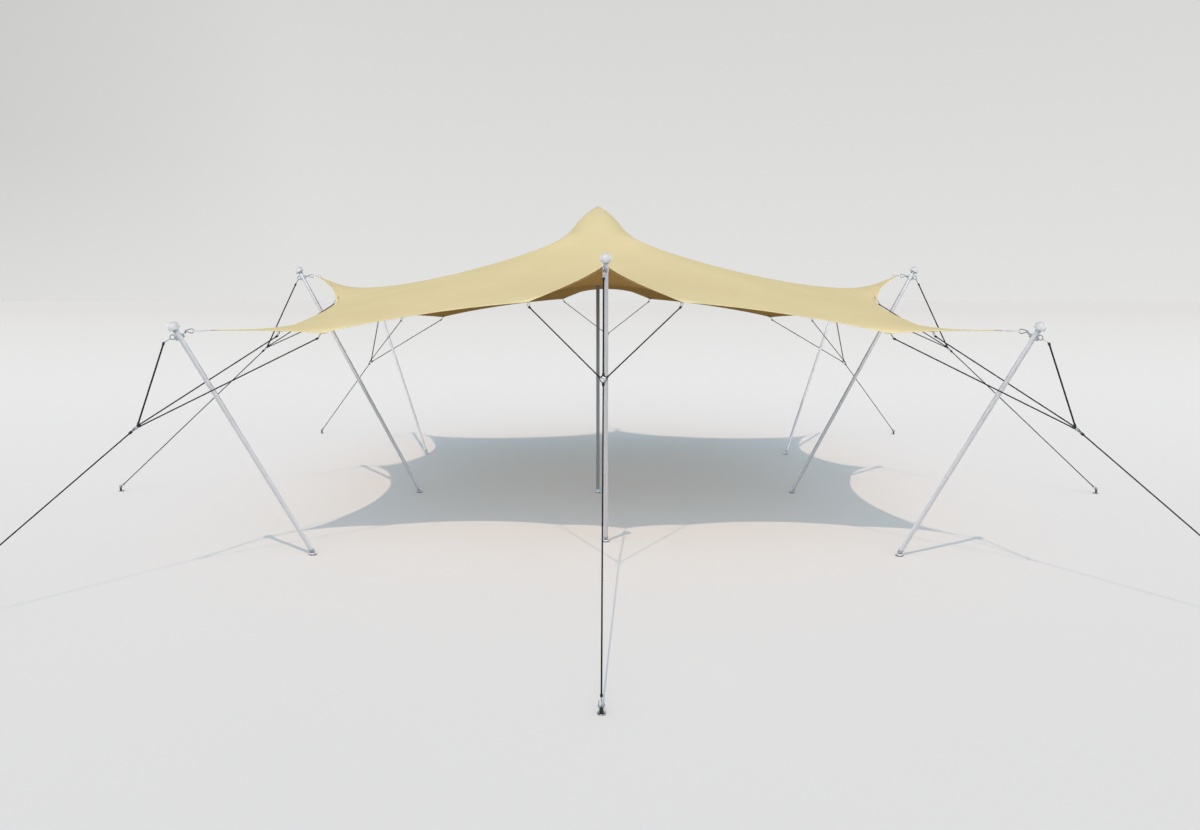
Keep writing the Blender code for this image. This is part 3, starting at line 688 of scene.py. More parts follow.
def canopyEdge():
    # Held points anticlockwise from the right-hand tail, with the steps and the cord's pull between them
    nearX, nearY, nearOff, nearZ = canopy["innerLoop"]
    farX, farY, farOff, farZ = canopy["outerLoop"]
    quarter = [
        (tent["sideTip"][0], 0.0, tent["sideTip"][2]), (nearX, nearOff, nearZ), (farX, farOff, farZ),
        tent["cornerTip"], (farOff, farY, farZ), (nearOff, nearY, nearZ),
        (0.0, tent["sideTip"][1], tent["sideTip"][2] + tent["frontTipRise"])]
    held = list(quarter)
    held += [(-x, y, z) for x, y, z in reversed(quarter[:-1])]
    held += [(x, -y, z) for x, y, z in reversed(held[1:-1])]
    steps = [canopy["tailSteps"], canopy["longSteps"], canopy["tailSteps"]] * 8
    pulls = [canopy["tailEdgePull"], canopy["longEdgePull"], canopy["tailEdgePull"]] * 8
    points, isHeld, pull = [], [], []
    for i, start in enumerate(held):
        start, end = np.array(start), np.array(held[(i + 1) % len(held)])
        for j in range(steps[i]):
            points.append(start + (end - start) * j / steps[i])
            isHeld.append(j == 0)
            pull.append(pulls[i])
    return np.array(points), np.array(isHeld), np.array(pull)


def tensionedSurface():
    # The sheet in balance: membrane stress from its plan, and a cord's pull along each edge
    edge, held, pull = canopyEdge()
    around, steps, poleX = len(edge), canopy["radialSteps"], tent["poleX"]
    turn = np.arctan2(edge[:, 1], edge[:, 0] - poleX)
    rimRadius = canopy["headRings"][-1]
    rim = np.stack([
        poleX + rimRadius * np.cos(turn), rimRadius * np.sin(turn), np.full(around, headHeight(rimRadius))], axis=1)
    even = np.linspace(0, 1, steps + 1)
    share = even - canopy["endSpacing"] * np.sin(2 * math.pi * even) / (2 * math.pi)
    radial = np.tile(np.interp((share[1:] + share[:-1]) / 2, *canopy["radialPull"]), around)
    share = share[None, :, None]
    points = (rim[:, None] * (1 - share) + edge[:, None] * share).reshape(-1, 3)
    index = np.arange(len(points)).reshape(around, steps + 1)
    following = np.roll(index, -1, axis=0)
    a, b = index[:, :-1].ravel(), following[:, :-1].ravel()
    c, d = following[:, 1:].ravel(), index[:, 1:].ravel()
    triangles = np.concatenate([np.stack(three, axis=1) for three in ((a, b, c), (a, c, d), (a, b, d), (b, c, d))])
    fixed = np.zeros(len(points), bool)
    fixed[index[:, 0]] = True
    fixed[index[held, -1]] = True
    free = ~fixed
    runs = np.cumsum(held) - 1
    here, there = index[:, -1], following[:, -1]
    for _ in range(2):
        plan = points * (1.0, 1.0, 0.0)
        stress = np.zeros((len(points), len(points)))
        for k in range(3):
            i, j, apex = triangles[:, k], triangles[:, (k + 1) % 3], triangles[:, (k + 2) % 3]
            u, v = plan[i] - plan[apex], plan[j] - plan[apex]
            area = np.linalg.norm(np.cross(u, v), axis=1)
            weight = np.clip(0.25 * (u * v).sum(axis=1) / np.maximum(area, 1e-9), -0.2, 20.0)
            np.add.at(stress, (i, j), weight)
            np.add.at(stress, (j, i), weight)
        stress[a, d] *= radial
        stress[d, a] *= radial
        length = np.linalg.norm(plan[here] - plan[there], axis=1)
        mean = np.array([length[runs == run].mean() for run in range(held.sum())])
        weight = pull / mean[runs]
        np.add.at(stress, (here, there), weight)
        np.add.at(stress, (there, here), weight)
        balance = np.diag(stress.sum(axis=1)) - stress
        load = -balance[np.ix_(free, fixed)] @ points[fixed]
        points[free] = np.linalg.solve(balance[np.ix_(free, free)], load)
    return points.reshape(around, steps + 1, 3), turn, held


def makeMiddleSurface():
    grid, turn, held = tensionedSurface()
    around, poleX = len(grid), tent["poleX"]
    points = [(poleX, 0.0, headHeight(0.0))]
    for radius in canopy["headRings"][1:-1]:
        points += [(poleX + radius * math.cos(t), radius * math.sin(t), headHeight(radius)) for t in turn]
    for ring in range(grid.shape[1]):
        points += [tuple(grid[i, ring]) for i in range(around)]
    rings = len(canopy["headRings"]) - 2 + grid.shape[1]
    faces = []
    for i in range(around):
        j = (i + 1) % around
        faces.append((0, 1 + i, 1 + j))
        for ring in range(rings - 1):
            inner, outer = 1 + ring * around, 1 + (ring + 1) * around
            faces.append((inner + i, outer + i, outer + j, inner + j))
    mesh = bpy.data.meshes.new("canopyMiddle")
    mesh.from_pydata(points, [], faces)
    rim = mesh.attributes.new("crease_edge", "FLOAT", "EDGE")
    rimFirst = 1 + (len(canopy["headRings"]) - 2) * around
    for edge in mesh.edges:
        if all(rimFirst <= corner < rimFirst + around for corner in edge.vertices):
            rim.data[edge.index].value = canopy["rimCrease"]
    sharp = mesh.attributes.new("crease_vert", "FLOAT", "POINT")
    last = 1 + (rings - 1) * around
    for i in range(around):
        sharp.data[last + i].value = 1.0 if held[i] else 0.0
    sharp.data[0].value = 0.7
    middle = bpy.data.objects.new("canopyMiddle", mesh)
    bpy.context.scene.collection.objects.link(middle)
    finer = middle.modifiers.new("finer", "SUBSURF")
    finer.levels = 1
    finer.render_levels = 1
    made = bpy.data.meshes.new_from_object(middle.evaluated_get(bpy.context.evaluated_depsgraph_get()))
    bpy.data.objects.remove(middle, do_unlink=True)
    return made


def edgeLoop(mesh):
    # The outer edge in order: its points, the way inwards at each, and the way up
    made = bmesh.new()
    made.from_mesh(mesh)
    made.normal_update()
    start = next(edge for edge in made.edges if edge.is_boundary)
    loop, corner = [start.verts[0]], start.verts[1]
    while corner is not loop[0]:
        loop.append(corner)
        ways = [edge.other_vert(corner) for edge in corner.link_edges if edge.is_boundary]
        corner = ways[0] if ways[0] is not loop[-2] else ways[1]
    rows = []
    for i, corner in enumerate(loop):
        inner = [edge.other_vert(corner) for edge in corner.link_edges if not edge.is_boundary]
        ahead = (loop[(i + 1) % len(loop)].co - loop[i - 1].co).normalized()
        way = sum(((v.co - corner.co).normalized() for v in inner), Vector()) if inner else Vector((0, 0, 0))
        way = (way - ahead * way.dot(ahead)).normalized()
        normal = corner.normal.copy()
        rows.append((corner.co.copy(), way, normal if normal.z > 0 else -normal))
    made.free()
    return rows


hem = {"width": 0.040, "proud": 0.0012, "stitchRows": (0.006, 0.034)}


def makeCanopy():
    middle = makeMiddleSurface()
    rows = edgeLoop(middle)
    middle.name = "canopySheet"
    middle.materials.clear()
    middle.materials.append(materials["fabricTop"])
    middle.materials.append(materials["fabricUnder"])
    middle.shade_smooth()
    sheet = bpy.data.objects.new("canopySheet", middle)
    bpy.context.scene.collection.objects.link(sheet)
    wall = sheet.modifiers.new("cloth", "SOLIDIFY")
    wall.thickness = canopy["thickness"]
    wall.offset = 0.0
    wall.material_offset = 1
    wall.material_offset_rim = 0
    sheet.data = bpy.data.meshes.new_from_object(sheet.evaluated_get(bpy.context.evaluated_depsgraph_get()))
    sheet.modifiers.clear()
    dress(sheet, "canopy_fabric", "canopy")
    return sheet, rows


def makeHem(rows):
    # The edge is turned over and sewn: a flat band on both faces that wraps round the edge
    shape = newShape()
    rings, lengths, run = [], [], 0.0
    half = canopy["thickness"] / 2 + hem["proud"]
    for i, (point, way, normal) in enumerate(rows):
        run += (point - rows[i - 1][0]).length if i else 0.0
        section = (
            (hem["width"], half * 0.8), (hem["width"] * 0.97, half), (0.002, half), (-0.0015, half * 0.5),
            (-0.0015, -half * 0.5), (0.002, -half), (hem["width"] * 0.97, -half), (hem["width"], -half * 0.8))
        rings.append([point + way * inwards + normal * rise for inwards, rise in section])
        lengths.append(run)
    count = len(rings[0])
    addRings(shape, rings, lengths, 0, closed=True)
    shape["slots"] = [1 if face % count in (4, 5, 6) else 0 for face in range(len(shape["faces"]))]
    piece = finishShape("canopyHem", shape, ("fabricTop", "fabricUnder"), 60)
    return dress(piece, "canopy_fabric", "canopy")


def makeStitches(rows):
    lift = canopy["thickness"] / 2 + hem["proud"] + 0.0004
    lines, facing = [], []
    closed = rows + rows[:1]
    for inwards in hem["stitchRows"]:
        for face in (1, -1):
            lines.append([point + way * inwards + normal * lift * face for point, way, normal in closed])
            facing += [tuple(normal * face) for point, way, normal in closed]
    piece = lineMesh("canopyStitches", lines, facing)
    runTree(piece, trees["stitch"], {
        "Pitch": 0.014, "Stitch Length": 0.009, "Thread Radius": 0.0011, "Thread": materials["thread"]})
    return dress(piece, "canopy_fabric", "canopy")


tab = {
    "width": 0.030, "length": 0.070, "thickness": 0.0016, "eye": 0.0060, "tailWidth": 0.026,
    "tailNarrow": 0.013, "tailEye": 0.0066}


def loopTab(shape, point):
    # Tape sewn over the edge, folded round the link's wire
    level = Vector((point.x - tent["poleX"], point.y, 0.0)).normalized()
    slope = (level - up * 0.10).normalized()
    across = up.cross(level)
    rise = slope.cross(across)
    rise = rise if rise.z > 0 else -rise
    lay = canopy["thickness"] / 2 + hem["proud"] + tab["thickness"]
    path = [point - slope * tab["length"] + rise * lay, point - slope * 0.012 + rise * lay]
    for i in range(7):
        turn = math.pi / 2 - math.pi * i / 6
        path.append(point + slope * math.cos(turn) * tab["eye"] + rise * math.sin(turn) * tab["eye"])
    path += [point - slope * 0.012 - rise * lay, point - slope * tab["length"] - rise * lay]
    strap(shape, path, across, tab["width"], tab["thickness"])


def tailTape(shape, at):
    # Undyed tape sewn on both faces of the tail: it turns upright on its way to the link, and goes round its wire
    wire = at["tail"] + at["out"] * (0.001 + tailHook["wire"])
    ahead = (wire - at["tip"]).normalized()
    reach = (wire - at["tip"]).length
    flat = (at["side"] - ahead * at["side"].dot(ahead)).normalized()
    rise = flat.cross(ahead)
    rise = rise if rise.z > 0 else -rise
    lay, eye = canopy["thickness"] / 2 + hem["proud"] + tab["thickness"], tab["tailEye"]
    wide, narrow = tab["tailWidth"], tab["tailNarrow"]
    stations = [  # how far past the fabric's end, how far turned, half the gap between its layers, and the width
        (-tab["length"], 0, lay, wide), (-0.008, 0, lay, wide), (reach * 0.20, 12, lay * 0.6, narrow * 1.4),
        (reach * 0.40, 38, 0.0018, narrow), (reach * 0.60, 68, 0.0018, narrow),
        (reach - 0.014, 88, eye * 0.75, narrow)]
    path, ways, widths = [], [], []
    for face in (1, -1):
        for run, turned, gap, width in stations[::face]:
            turn = math.radians(turned)
            widths.append(width)
            path.append(at["tip"] + ahead * run + (rise * math.cos(turn) + flat * math.sin(turn)) * gap * face)
            ways.append(flat * math.cos(turn) - rise * math.sin(turn))
        for i in range(7 if face == 1 else 0):
            turn = math.pi / 2 - math.pi * i / 6
            path.append(wire + (ahead * math.cos(turn) + flat * math.sin(turn)) * eye)
            ways.append(-rise)
            widths.append(narrow)
    strap(shape, path, ways, widths, tab["thickness"], 1)


def makeTabs():
    shape = newShape()
    for place in places:
        at = guide(place)
        for point in at["loops"]:
            loopTab(shape, point)
        tailTape(shape, at)
    piece = finishShape("canopyTabs", shape, ("webbing", "paleWebbing"), 60)
    return dress(piece, "canopy_fabric", "canopy")


# Centre pole

pole = {"radius": 0.02415, "footRadius": 0.042, "headWall": 0.005, "ribs": 12}


def makeCentrePole():
    foot = Vector((tent["poleX"], 0.0, 0.0))
    hubTop = headHeight(0.0) - 0.040
    shape = newShape()
    edge = 0.0015
    profile = [(pole["radius"] - edge, 0.0105), (pole["radius"], 0.0105 + edge)]
    profile += [(pole["radius"], hubTop * i / 12) for i in range(1, 12)]
    profile += [(pole["radius"], hubTop - 0.002), (pole["radius"] - edge, hubTop - 0.0005)]
    lathe(shape, foot, up, profile, 48)
    # The tube takes the darker copy of the aluminium: painted shade
    dress(finishShape("centrePoleTube", shape, ("shadedPoleAluminium",)), "mast_aluminium", "centre_pole")
    shape = newShape()
    lathe(shape, foot, up, footPlateProfile(pole["footRadius"]), 48)
    lathe(shape, foot, up, [
        (0.0246, 0.009), (0.034, 0.009), (0.0335, 0.012), (0.0305, 0.016), (0.0300, 0.054), (0.0290, 0.055),
        (0.0246, 0.055)], 48)
    lathe(shape, foot, up, [(0.0405, 0.0), (0.0415, 0.001), (0.0415, 0.004), (0.0405, 0.005)], 48, 1)
    screws = lineMesh("footScrews", [[foot + Vector((0.030, 0, 0.034))], [foot - Vector((0.030, 0, -0.034))]],
                      [(1, 0, 0), (-1, 0, 0)])
    runTree(screws, trees["bolt"], {"Across Corners": 0.012, "Head Height": 0.004, "Steel": materials["zinc"]})
    piece = joinPieces([finishShape("centrePoleFoot", shape, ("zinc", "rubber")), screws])
    dress(piece, "anchor_steel", "centre_pole_foot")


def footPlateProfile(radius):
    # A pressed steel plate with a turned-down rim and a raised middle
    return [
        (0.0, 0.0045), (radius * 0.93, 0.0045), (radius * 0.985, 0.0052), (radius, 0.0065), (radius * 0.985, 0.0080),
        (radius * 0.93, 0.0088), (radius * 0.80, 0.0092), (radius * 0.70, 0.0100), (0.0, 0.0100)]


def makePoleHead():
    centre = Vector((tent["poleX"], 0.0, 0.0))
    rings = [r for r in canopy["headRings"] if r > 0]
    gap = canopy["thickness"] / 2 + 0.003

    def under(radius):
        slope = canopy["headSlope"] + 2 * canopy["headCurve"] * radius
        return headHeight(radius) - gap * math.hypot(1.0, slope)

    wall = pole["headWall"]
    top = [(0.0, under(0.0))] + [(r, under(r)) for r in rings]
    rimRadius, rimHeight = top[-1]
    inside = [(r, h - wall * math.hypot(1.0, canopy["headSlope"] + 2 * canopy["headCurve"] * r))
              for r, h in reversed(top[:-1])]
    profile = top + [(rimRadius + 0.001, rimHeight - 0.004), (rimRadius - 0.001, rimHeight - 0.010),
                     (rimRadius - 0.006, rimHeight - 0.008)] + inside[:-1] + [(0.0, inside[-1][1])]
    shape = newShape()
    lathe(shape, centre, up, profile[::-1], 64)
    hubTop = headHeight(0.0) - 0.040
    lathe(shape, centre, up, [
        (0.0245, hubTop - 0.160), (0.0330, hubTop - 0.160), (0.0340, hubTop - 0.158), (0.0340, hubTop - 0.120),
        (0.0320, hubTop - 0.116), (0.0320, hubTop - 0.045), (0.0440, hubTop - 0.036), (0.0245, hubTop - 0.034)], 48)
    for i in range(pole["ribs"]):
        turn = 2 * math.pi * i / pole["ribs"]
        way = Vector((math.cos(turn), math.sin(turn), 0.0))
        path = [centre + way * r + up * (under(r) - 0.0135) for r in (0.030, 0.10, 0.16, 0.22, 0.28, 0.33, 0.362)]
        strap(shape, path, up, 0.018, 0.005)
    piece = finishShape("centrePoleHead", shape, ("aluminium",))
    heads, facing = [], []
    for side in (-1, 1):
        for drop in (0.070, 0.100):
            heads.append([centre + Vector((side * 0.033, 0, hubTop - drop))])
            facing.append((side, 0, 0))
    bolts = lineMesh("headBolts", heads, facing)
    runTree(bolts, trees["bolt"], {"Across Corners": 0.015, "Head Height": 0.005, "Steel": materials["zinc"]})
    dress(joinPieces([piece, bolts]), "mast_aluminium", "centre_pole_head")


# Masts

mast = {
    "radius": 0.02415, "collarRadius": 0.0280, "collarHalf": 0.021, "collarBelowCap": 0.088, "sleeveRadius": 0.0264,
    "capRing": 0.026, "footRadius": 0.042, "ballHeight": 0.030, "capRadius": 0.055, "capSkirt": 0.020}


def makeMast(place):
    at = guide(place)
    ball = at["foot"] + up * mast["ballHeight"]
    along = (at["cap"] - ball).normalized()
    length = (at["cap"] - ball).length
    shape = newShape()
    profile = [(mast["radius"] - 0.002, 0.034), (mast["radius"], 0.036)]
    profile += [(mast["radius"], 0.036 + (length - 0.04) * i / 8) for i in range(1, 8)]
    profile += [(mast["radius"], length - 0.001), (mast["radius"] - 0.001, length - 0.0002)]
    lathe(shape, ball, along, profile, 48)
    # Ball end in the tube, and the cup and plate that it turns in
    lathe(shape, ball, along, [
        (0.0, -0.0235), (0.009, -0.0217), (0.0166, -0.0166), (0.0217, -0.009), (0.0235, 0.0), (0.0226, 0.010),
        (0.0262, 0.016), (0.0262, 0.043), (0.0252, 0.046), (0.0243, 0.046)], 40, 1)
    wideFoot = mast["footRadius"]
    lathe(shape, at["foot"], up, [
        (0.0, 0.0078), (wideFoot * 0.93, 0.0078), (wideFoot * 0.97, 0.0084), (wideFoot * 0.94, 0.0092),
        (wideFoot * 0.80, 0.0096), (wideFoot * 0.70, 0.0104), (0.0, 0.0104)], 48)
    lathe(shape, at["foot"], up, [
        (0.0, 0.0100), (0.031, 0.0100), (0.0305, 0.013), (0.0270, 0.020), (0.0262, 0.022), (0.0250, 0.022),
        (0.0235, 0.018), (0.0, 0.018)], 40)
    lathe(shape, at["foot"], up, [
        (0.0, 0.0), (wideFoot - 0.0015, 0.0), (wideFoot, 0.0015), (wideFoot, 0.0068), (wideFoot - 0.001, 0.0076),
        (0.0, 0.0076)], 48, 2)
    # Collar: a sleeve from the cap's steel ring down to a split clamp with an ear inwards and an ear outwards
    half, wide, thin = mast["collarHalf"], mast["collarRadius"], mast["sleeveRadius"]
    collar = ball + along * (length - mast["collarBelowCap"])
    ringTop = mast["collarBelowCap"] - 0.0015
    ringFoot = ringTop - mast["capRing"]
    lathe(shape, collar, along, [
        (mast["radius"] + 0.0003, -half), (wide - 0.001, -half), (wide, -half + 0.001), (wide, half - 0.001),
        (wide - 0.001, half), (thin, half + 0.0005), (thin, ringFoot - 0.0005), (mast["radius"] + 0.0003, ringFoot)], 48)
    lathe(shape, collar, along, [
        (mast["radius"] + 0.0003, ringFoot), (wide - 0.001, ringFoot), (wide, ringFoot + 0.001),
        (wide, ringTop - 0.001), (wide - 0.001, ringTop), (mast["radius"] + 0.0003, ringTop)], 48, 1)
    across = at["side"]
    through = along.cross(across)
    for way in (1, -1):
        middle = collar + through * way * (wide + 0.006)
        for lug in (1, -1):
            loftBar(shape, middle + across * 0.0075 * lug, (across, through, along), (0.005, 0.022, 0.036), 0.0015, 1)
    # The side masts take the aluminium with painted shade on their lower part
    tube = "shadedLowAluminium" if place in ("Left", "Right") else "aluminium"
    piece = finishShape("mastTube" + place, shape, (tube, "zinc", "rubber"))
    heads, facing = [], []
    for way in (1, -1):
        for lug in (1, -1):
            for rise in (-0.010, 0.010):
                spot = collar + through * way * (wide + 0.010) + across * 0.0125 * lug + along * rise
                heads.append([spot])
                facing.append(tuple(across * lug))
    bolts = lineMesh("collarBolts" + place, heads, facing)
    runTree(bolts, trees["bolt"], {"Across Corners": 0.010, "Head Height": 0.004, "Steel": materials["stainless"]})
    dress(joinPieces([piece, bolts]), "mast_aluminium", nodeName("mast", place))


def makeCap(place):
    at = guide(place)
    skirt, radius = mast["capSkirt"], mast["capRadius"]
    profile = [(0.0, 0.0005), (radius * 0.55, 0.0005), (radius * 0.60, 0.003), (radius - 0.006, 0.003)]
    profile += [(radius - 0.003, 0.0003), (radius - 0.001, 0.0008), (radius, 0.003), (radius, skirt)]
    profile += [(radius * math.cos(math.radians(a)), skirt + radius * math.sin(math.radians(a)))
                for a in range(9, 90, 9)]
    profile += [(0.0, skirt + radius)]
    shape = newShape()
    lathe(shape, at["cap"], at["along"], profile, 64)
    # The raised line where the two halves of the mould met, just over the skirt
    ring = circle(at["cap"] + at["along"] * skirt, at["along"].orthogonal().normalized(),
                  at["along"].cross(at["along"].orthogonal().normalized()), radius - 0.0004, 48)
    sweep(shape, ring, 0.0007, 6, 0, True, at["along"])
    dress(finishShape("mastCap" + place, shape, ("nylon",)), "cap_plastic", nodeName("mast_cap", place))


tailHook = {"reach": 0.086, "widest": 0.051, "narrowest": 0.021, "wire": 0.0045, "shank": 0.0062, "rise": 0.012}


def makeTailHook(place):
    # An upright pear-shaped link for the tail's tape, on a shank with a swivel eye from the collar's inner ears
    at = guide(place)
    shape = newShape()
    near = at["tail"] + at["out"] * 0.001
    far = at["tail"] + at["out"] * tailHook["reach"] + up * 0.002
    path, normal = pearPath(near, far, up, tailHook["widest"], tailHook["narrowest"], tailHook["wire"])
    sweep(shape, path, tailHook["wire"], 12, 0, True, normal)
    start = at["collar"] - at["out"] * (mast["collarRadius"] + 0.012) + at["along"] * tailHook["rise"]
    hold = far - at["out"] * tailHook["wire"]
    ahead = (hold - start).normalized()
    eye = [hold + (ahead * math.cos(t) + at["side"] * math.sin(t)) * 0.0105
           for t in (2 * math.pi * i / 20 for i in range(20))]
    sweep(shape, eye, 0.0040, 10, 0, True, ahead.cross(at["side"]))
    roundRod(shape, start, hold - ahead * 0.012, tailHook["shank"], 16)
    lathe(shape, hold - ahead * 0.028, ahead, [
        (0.0, 0.0), (0.0085, 0.0), (0.0095, 0.001), (0.0095, 0.013), (0.0080, 0.016), (0.0, 0.016)], 20)
    roundRod(shape, start - at["side"] * 0.017, start + at["side"] * 0.017, 0.0042, 12)
    dress(finishShape("tailHook" + place, shape, ("stainless",)), "polished_steel", nodeName("tail_hook", place))


# Bridles and guy lines

rigging = {
    "mastRope": 0.0080, "edgeRope": 0.0063, "guyRope": 0.0062, "ringWire": 0.0062, "ringLength": 0.072,
    "ringWidth": 0.082, "eyeWidth": 0.056, "eyeWire": 0.0050, "linkLength": 0.056, "linkWidth": 0.033,
    "linkWire": 0.0036, "pullHeight": 0.059, "anchorLinkStart": -0.008, "anchorLinkEnd": 0.060,
    "anchorLinkWidth": 0.027, "anchorLinkWire": 0.0035}


def knob(shape, centre, axis, length, radius, slot=1, ridges=4):
    # A moulded rope end: a barrel with grooves, narrower at both ends
    profile = [(radius * 0.45, -length / 2), (radius * 0.75, -length / 2 + 0.001)]
    for i in range(ridges):
        low = -length / 2 + length * (0.12 + 0.76 * i / ridges)
        high = -length / 2 + length * (0.12 + 0.76 * (i + 0.72) / ridges)
        profile += [(radius * 0.86, low), (radius, low + 0.0006), (radius, high - 0.0006), (radius * 0.86, high)]
    profile += [(radius * 0.75, length / 2 - 0.001), (radius * 0.45, length / 2)]
    lathe(shape, centre, axis, profile, 20, slot)


def deltaPath(centre, down, side, width, length, wire):
    # A rounded triangle, its point down the guy line
    bend = 0.014
    halfWide, halfLong = width / 2 - wire - bend, length / 2 - wire - bend
    corners = [
        (centre + down * halfLong, -60, 60), (centre - down * halfLong - side * halfWide, 60, 180),
        (centre - down * halfLong + side * halfWide, 180, 300)]
    path = []
    for corner, first, last in corners:
        for i in range(7):
            turn = math.radians(first + (last - first) * i / 6)
            path.append(corner + (down * math.cos(turn) - side * math.sin(turn)) * bend)
    return path, down.cross(side)


def makeGuy(place):
    at = guide(place)
    metal, black = newShape(), newShape()
    lines, widths = [], []

    def rope(start, end, radius):
        lines.append([start, end])
        widths.extend([radius, radius])

    ring, side, out, upGuy = at["ring"], at["side"], at["out"], at["upGuy"]
    path, normal = deltaPath(ring, -upGuy, side, rigging["ringWidth"], rigging["ringLength"], rigging["ringWire"])
    sweep(metal, path, rigging["ringWire"], 12, 0, True, normal)
    # Round eye on the collar, the pin below it and the mast rope's T-shaped end
    eyeStart = at["collar"] + out * (mast["collarRadius"] / at["along"].z + 0.002) + side * (
        tent["guyAside"] - tent["mastAside"])
    eyeCentre = eyeStart + out * (rigging["eyeWidth"] / 2)
    bend = rigging["eyeWidth"] / 2 - rigging["eyeWire"]
    eyePath = [eyeCentre + (out * math.cos(t) + up * math.sin(t)) * bend
               for t in (2 * math.pi * i / 28 for i in range(28))]
    sweep(metal, eyePath, rigging["eyeWire"], 12, 0, True, side)
    reach, drop = (0.142, 0.050) if isCorner(place) else (0.112, 0.085)
    knobAt = at["collar"] + out * reach - up * drop + side * (tent["guyAside"] - tent["mastAside"])
    hang = (knobAt - eyeCentre).normalized()
    pinStart = eyeCentre + hang * (bend - 0.006)
    pinPath, pinNormal = stadiumPath(pinStart, knobAt + hang * 0.004, side, 0.020, 0.0030)
    sweep(metal, pinPath, 0.0030, 10, 0, True, pinNormal)
    top = ring + upGuy * (rigging["ringLength"] / 2 - rigging["ringWire"])
    low = ring - upGuy * (rigging["ringLength"] / 2 - rigging["ringWire"])
    down = (top - knobAt).normalized()
    knob(black, knobAt + down * 0.010, down, 0.034, 0.0125, 0)
    roundRod(black, knobAt - side * 0.016, knobAt + side * 0.016, 0.0065, 14, 0)
    split = top - down * 0.030
    rope(knobAt, split + down * 0.006, rigging["mastRope"])
    knob(black, split - down * 0.004, down, 0.030, 0.0120, 0)
    shoulder = rigging["ringWidth"] / 2 - rigging["ringWire"] - 0.008
    for held in at["loops"]:
        way = (ring - held).normalized()
        level = Vector((way.x, way.y, 0.0)).normalized()
        linkWay = (way * 0.45 - up * 0.55).normalized()
        start = held + level * 0.004
        end = start + linkWay * rigging["linkLength"]
        linkPath, linkNormal = stadiumPath(start, end, way.cross(-up), rigging["linkWidth"], rigging["linkWire"])
        sweep(metal, linkPath, rigging["linkWire"], 12, 0, True, linkNormal)
        onRing = top + side * math.copysign(shoulder, side.dot(held - ring))
        ropeWay = (onRing - end).normalized()
        eye = end - linkWay * rigging["linkWire"]
        knob(black, eye + ropeWay * 0.016, ropeWay, 0.028, 0.0115, 0)
        roundRod(black, eye - linkWay.cross(ropeWay).normalized() * 0.013,
                 eye + linkWay.cross(ropeWay).normalized() * 0.013, 0.0055, 12, 0)
        rope(eye, onRing - ropeWay * 0.020, rigging["edgeRope"])
        knob(black, onRing - ropeWay * 0.020, ropeWay, 0.026, 0.0095, 0)
        rope(split, onRing, rigging["edgeRope"])
        rope(onRing - ropeWay * 0.02, onRing, rigging["edgeRope"])
    # Guy line: knob under the ring, the rope, and the eye that holds the anchor's link
    linkEnd = at["pull"] + upGuy * rigging["anchorLinkEnd"]
    knob(black, low - upGuy * 0.016, upGuy, 0.034, 0.0135, 0)
    roundRod(black, low - side * 0.013, low + side * 0.013, 0.0065, 12, 0)
    rope(linkEnd, low, rigging["guyRope"])
    knob(black, linkEnd + upGuy * 0.012, upGuy, 0.026, 0.0105, 0)
    linkStart = at["pull"] + upGuy * rigging["anchorLinkStart"]
    wire = rigging["anchorLinkWire"]
    anchorPath, anchorNormal = stadiumPath(linkStart, linkEnd, up, rigging["anchorLinkWidth"], wire)
    sweep(metal, anchorPath, wire, 12, 0, True, anchorNormal)
    piece = finishShape("guyLinks" + place, metal, ("stainless",))
    dress(piece, "polished_steel", nodeName("guy", place))
    ropes = lineMesh("guyRopes" + place, lines, None, widths)
    runTree(ropes, trees["rope"], {"Sides": 16, "Ring Spacing": 0.06, "Rope": materials["rope"]})
    ends = finishShape("ropeEnds" + place, black, ("rubber",))
    dress(joinPieces([ropes, ends]), "black_rope", nodeName("guy", place))


# Anchors

anchor = {
    "discRadius": 0.030, "discHeight": 0.008, "sleeveRadius": 0.014, "sleeveEnd": 0.050, "forkStart": 0.044,
    "forkEnd": 0.094, "forkWidth": 0.044, "forkDepth": 0.018, "pinRadius": 0.0035, "ringRadius": 0.0235,
    "ringWire": 0.0032}


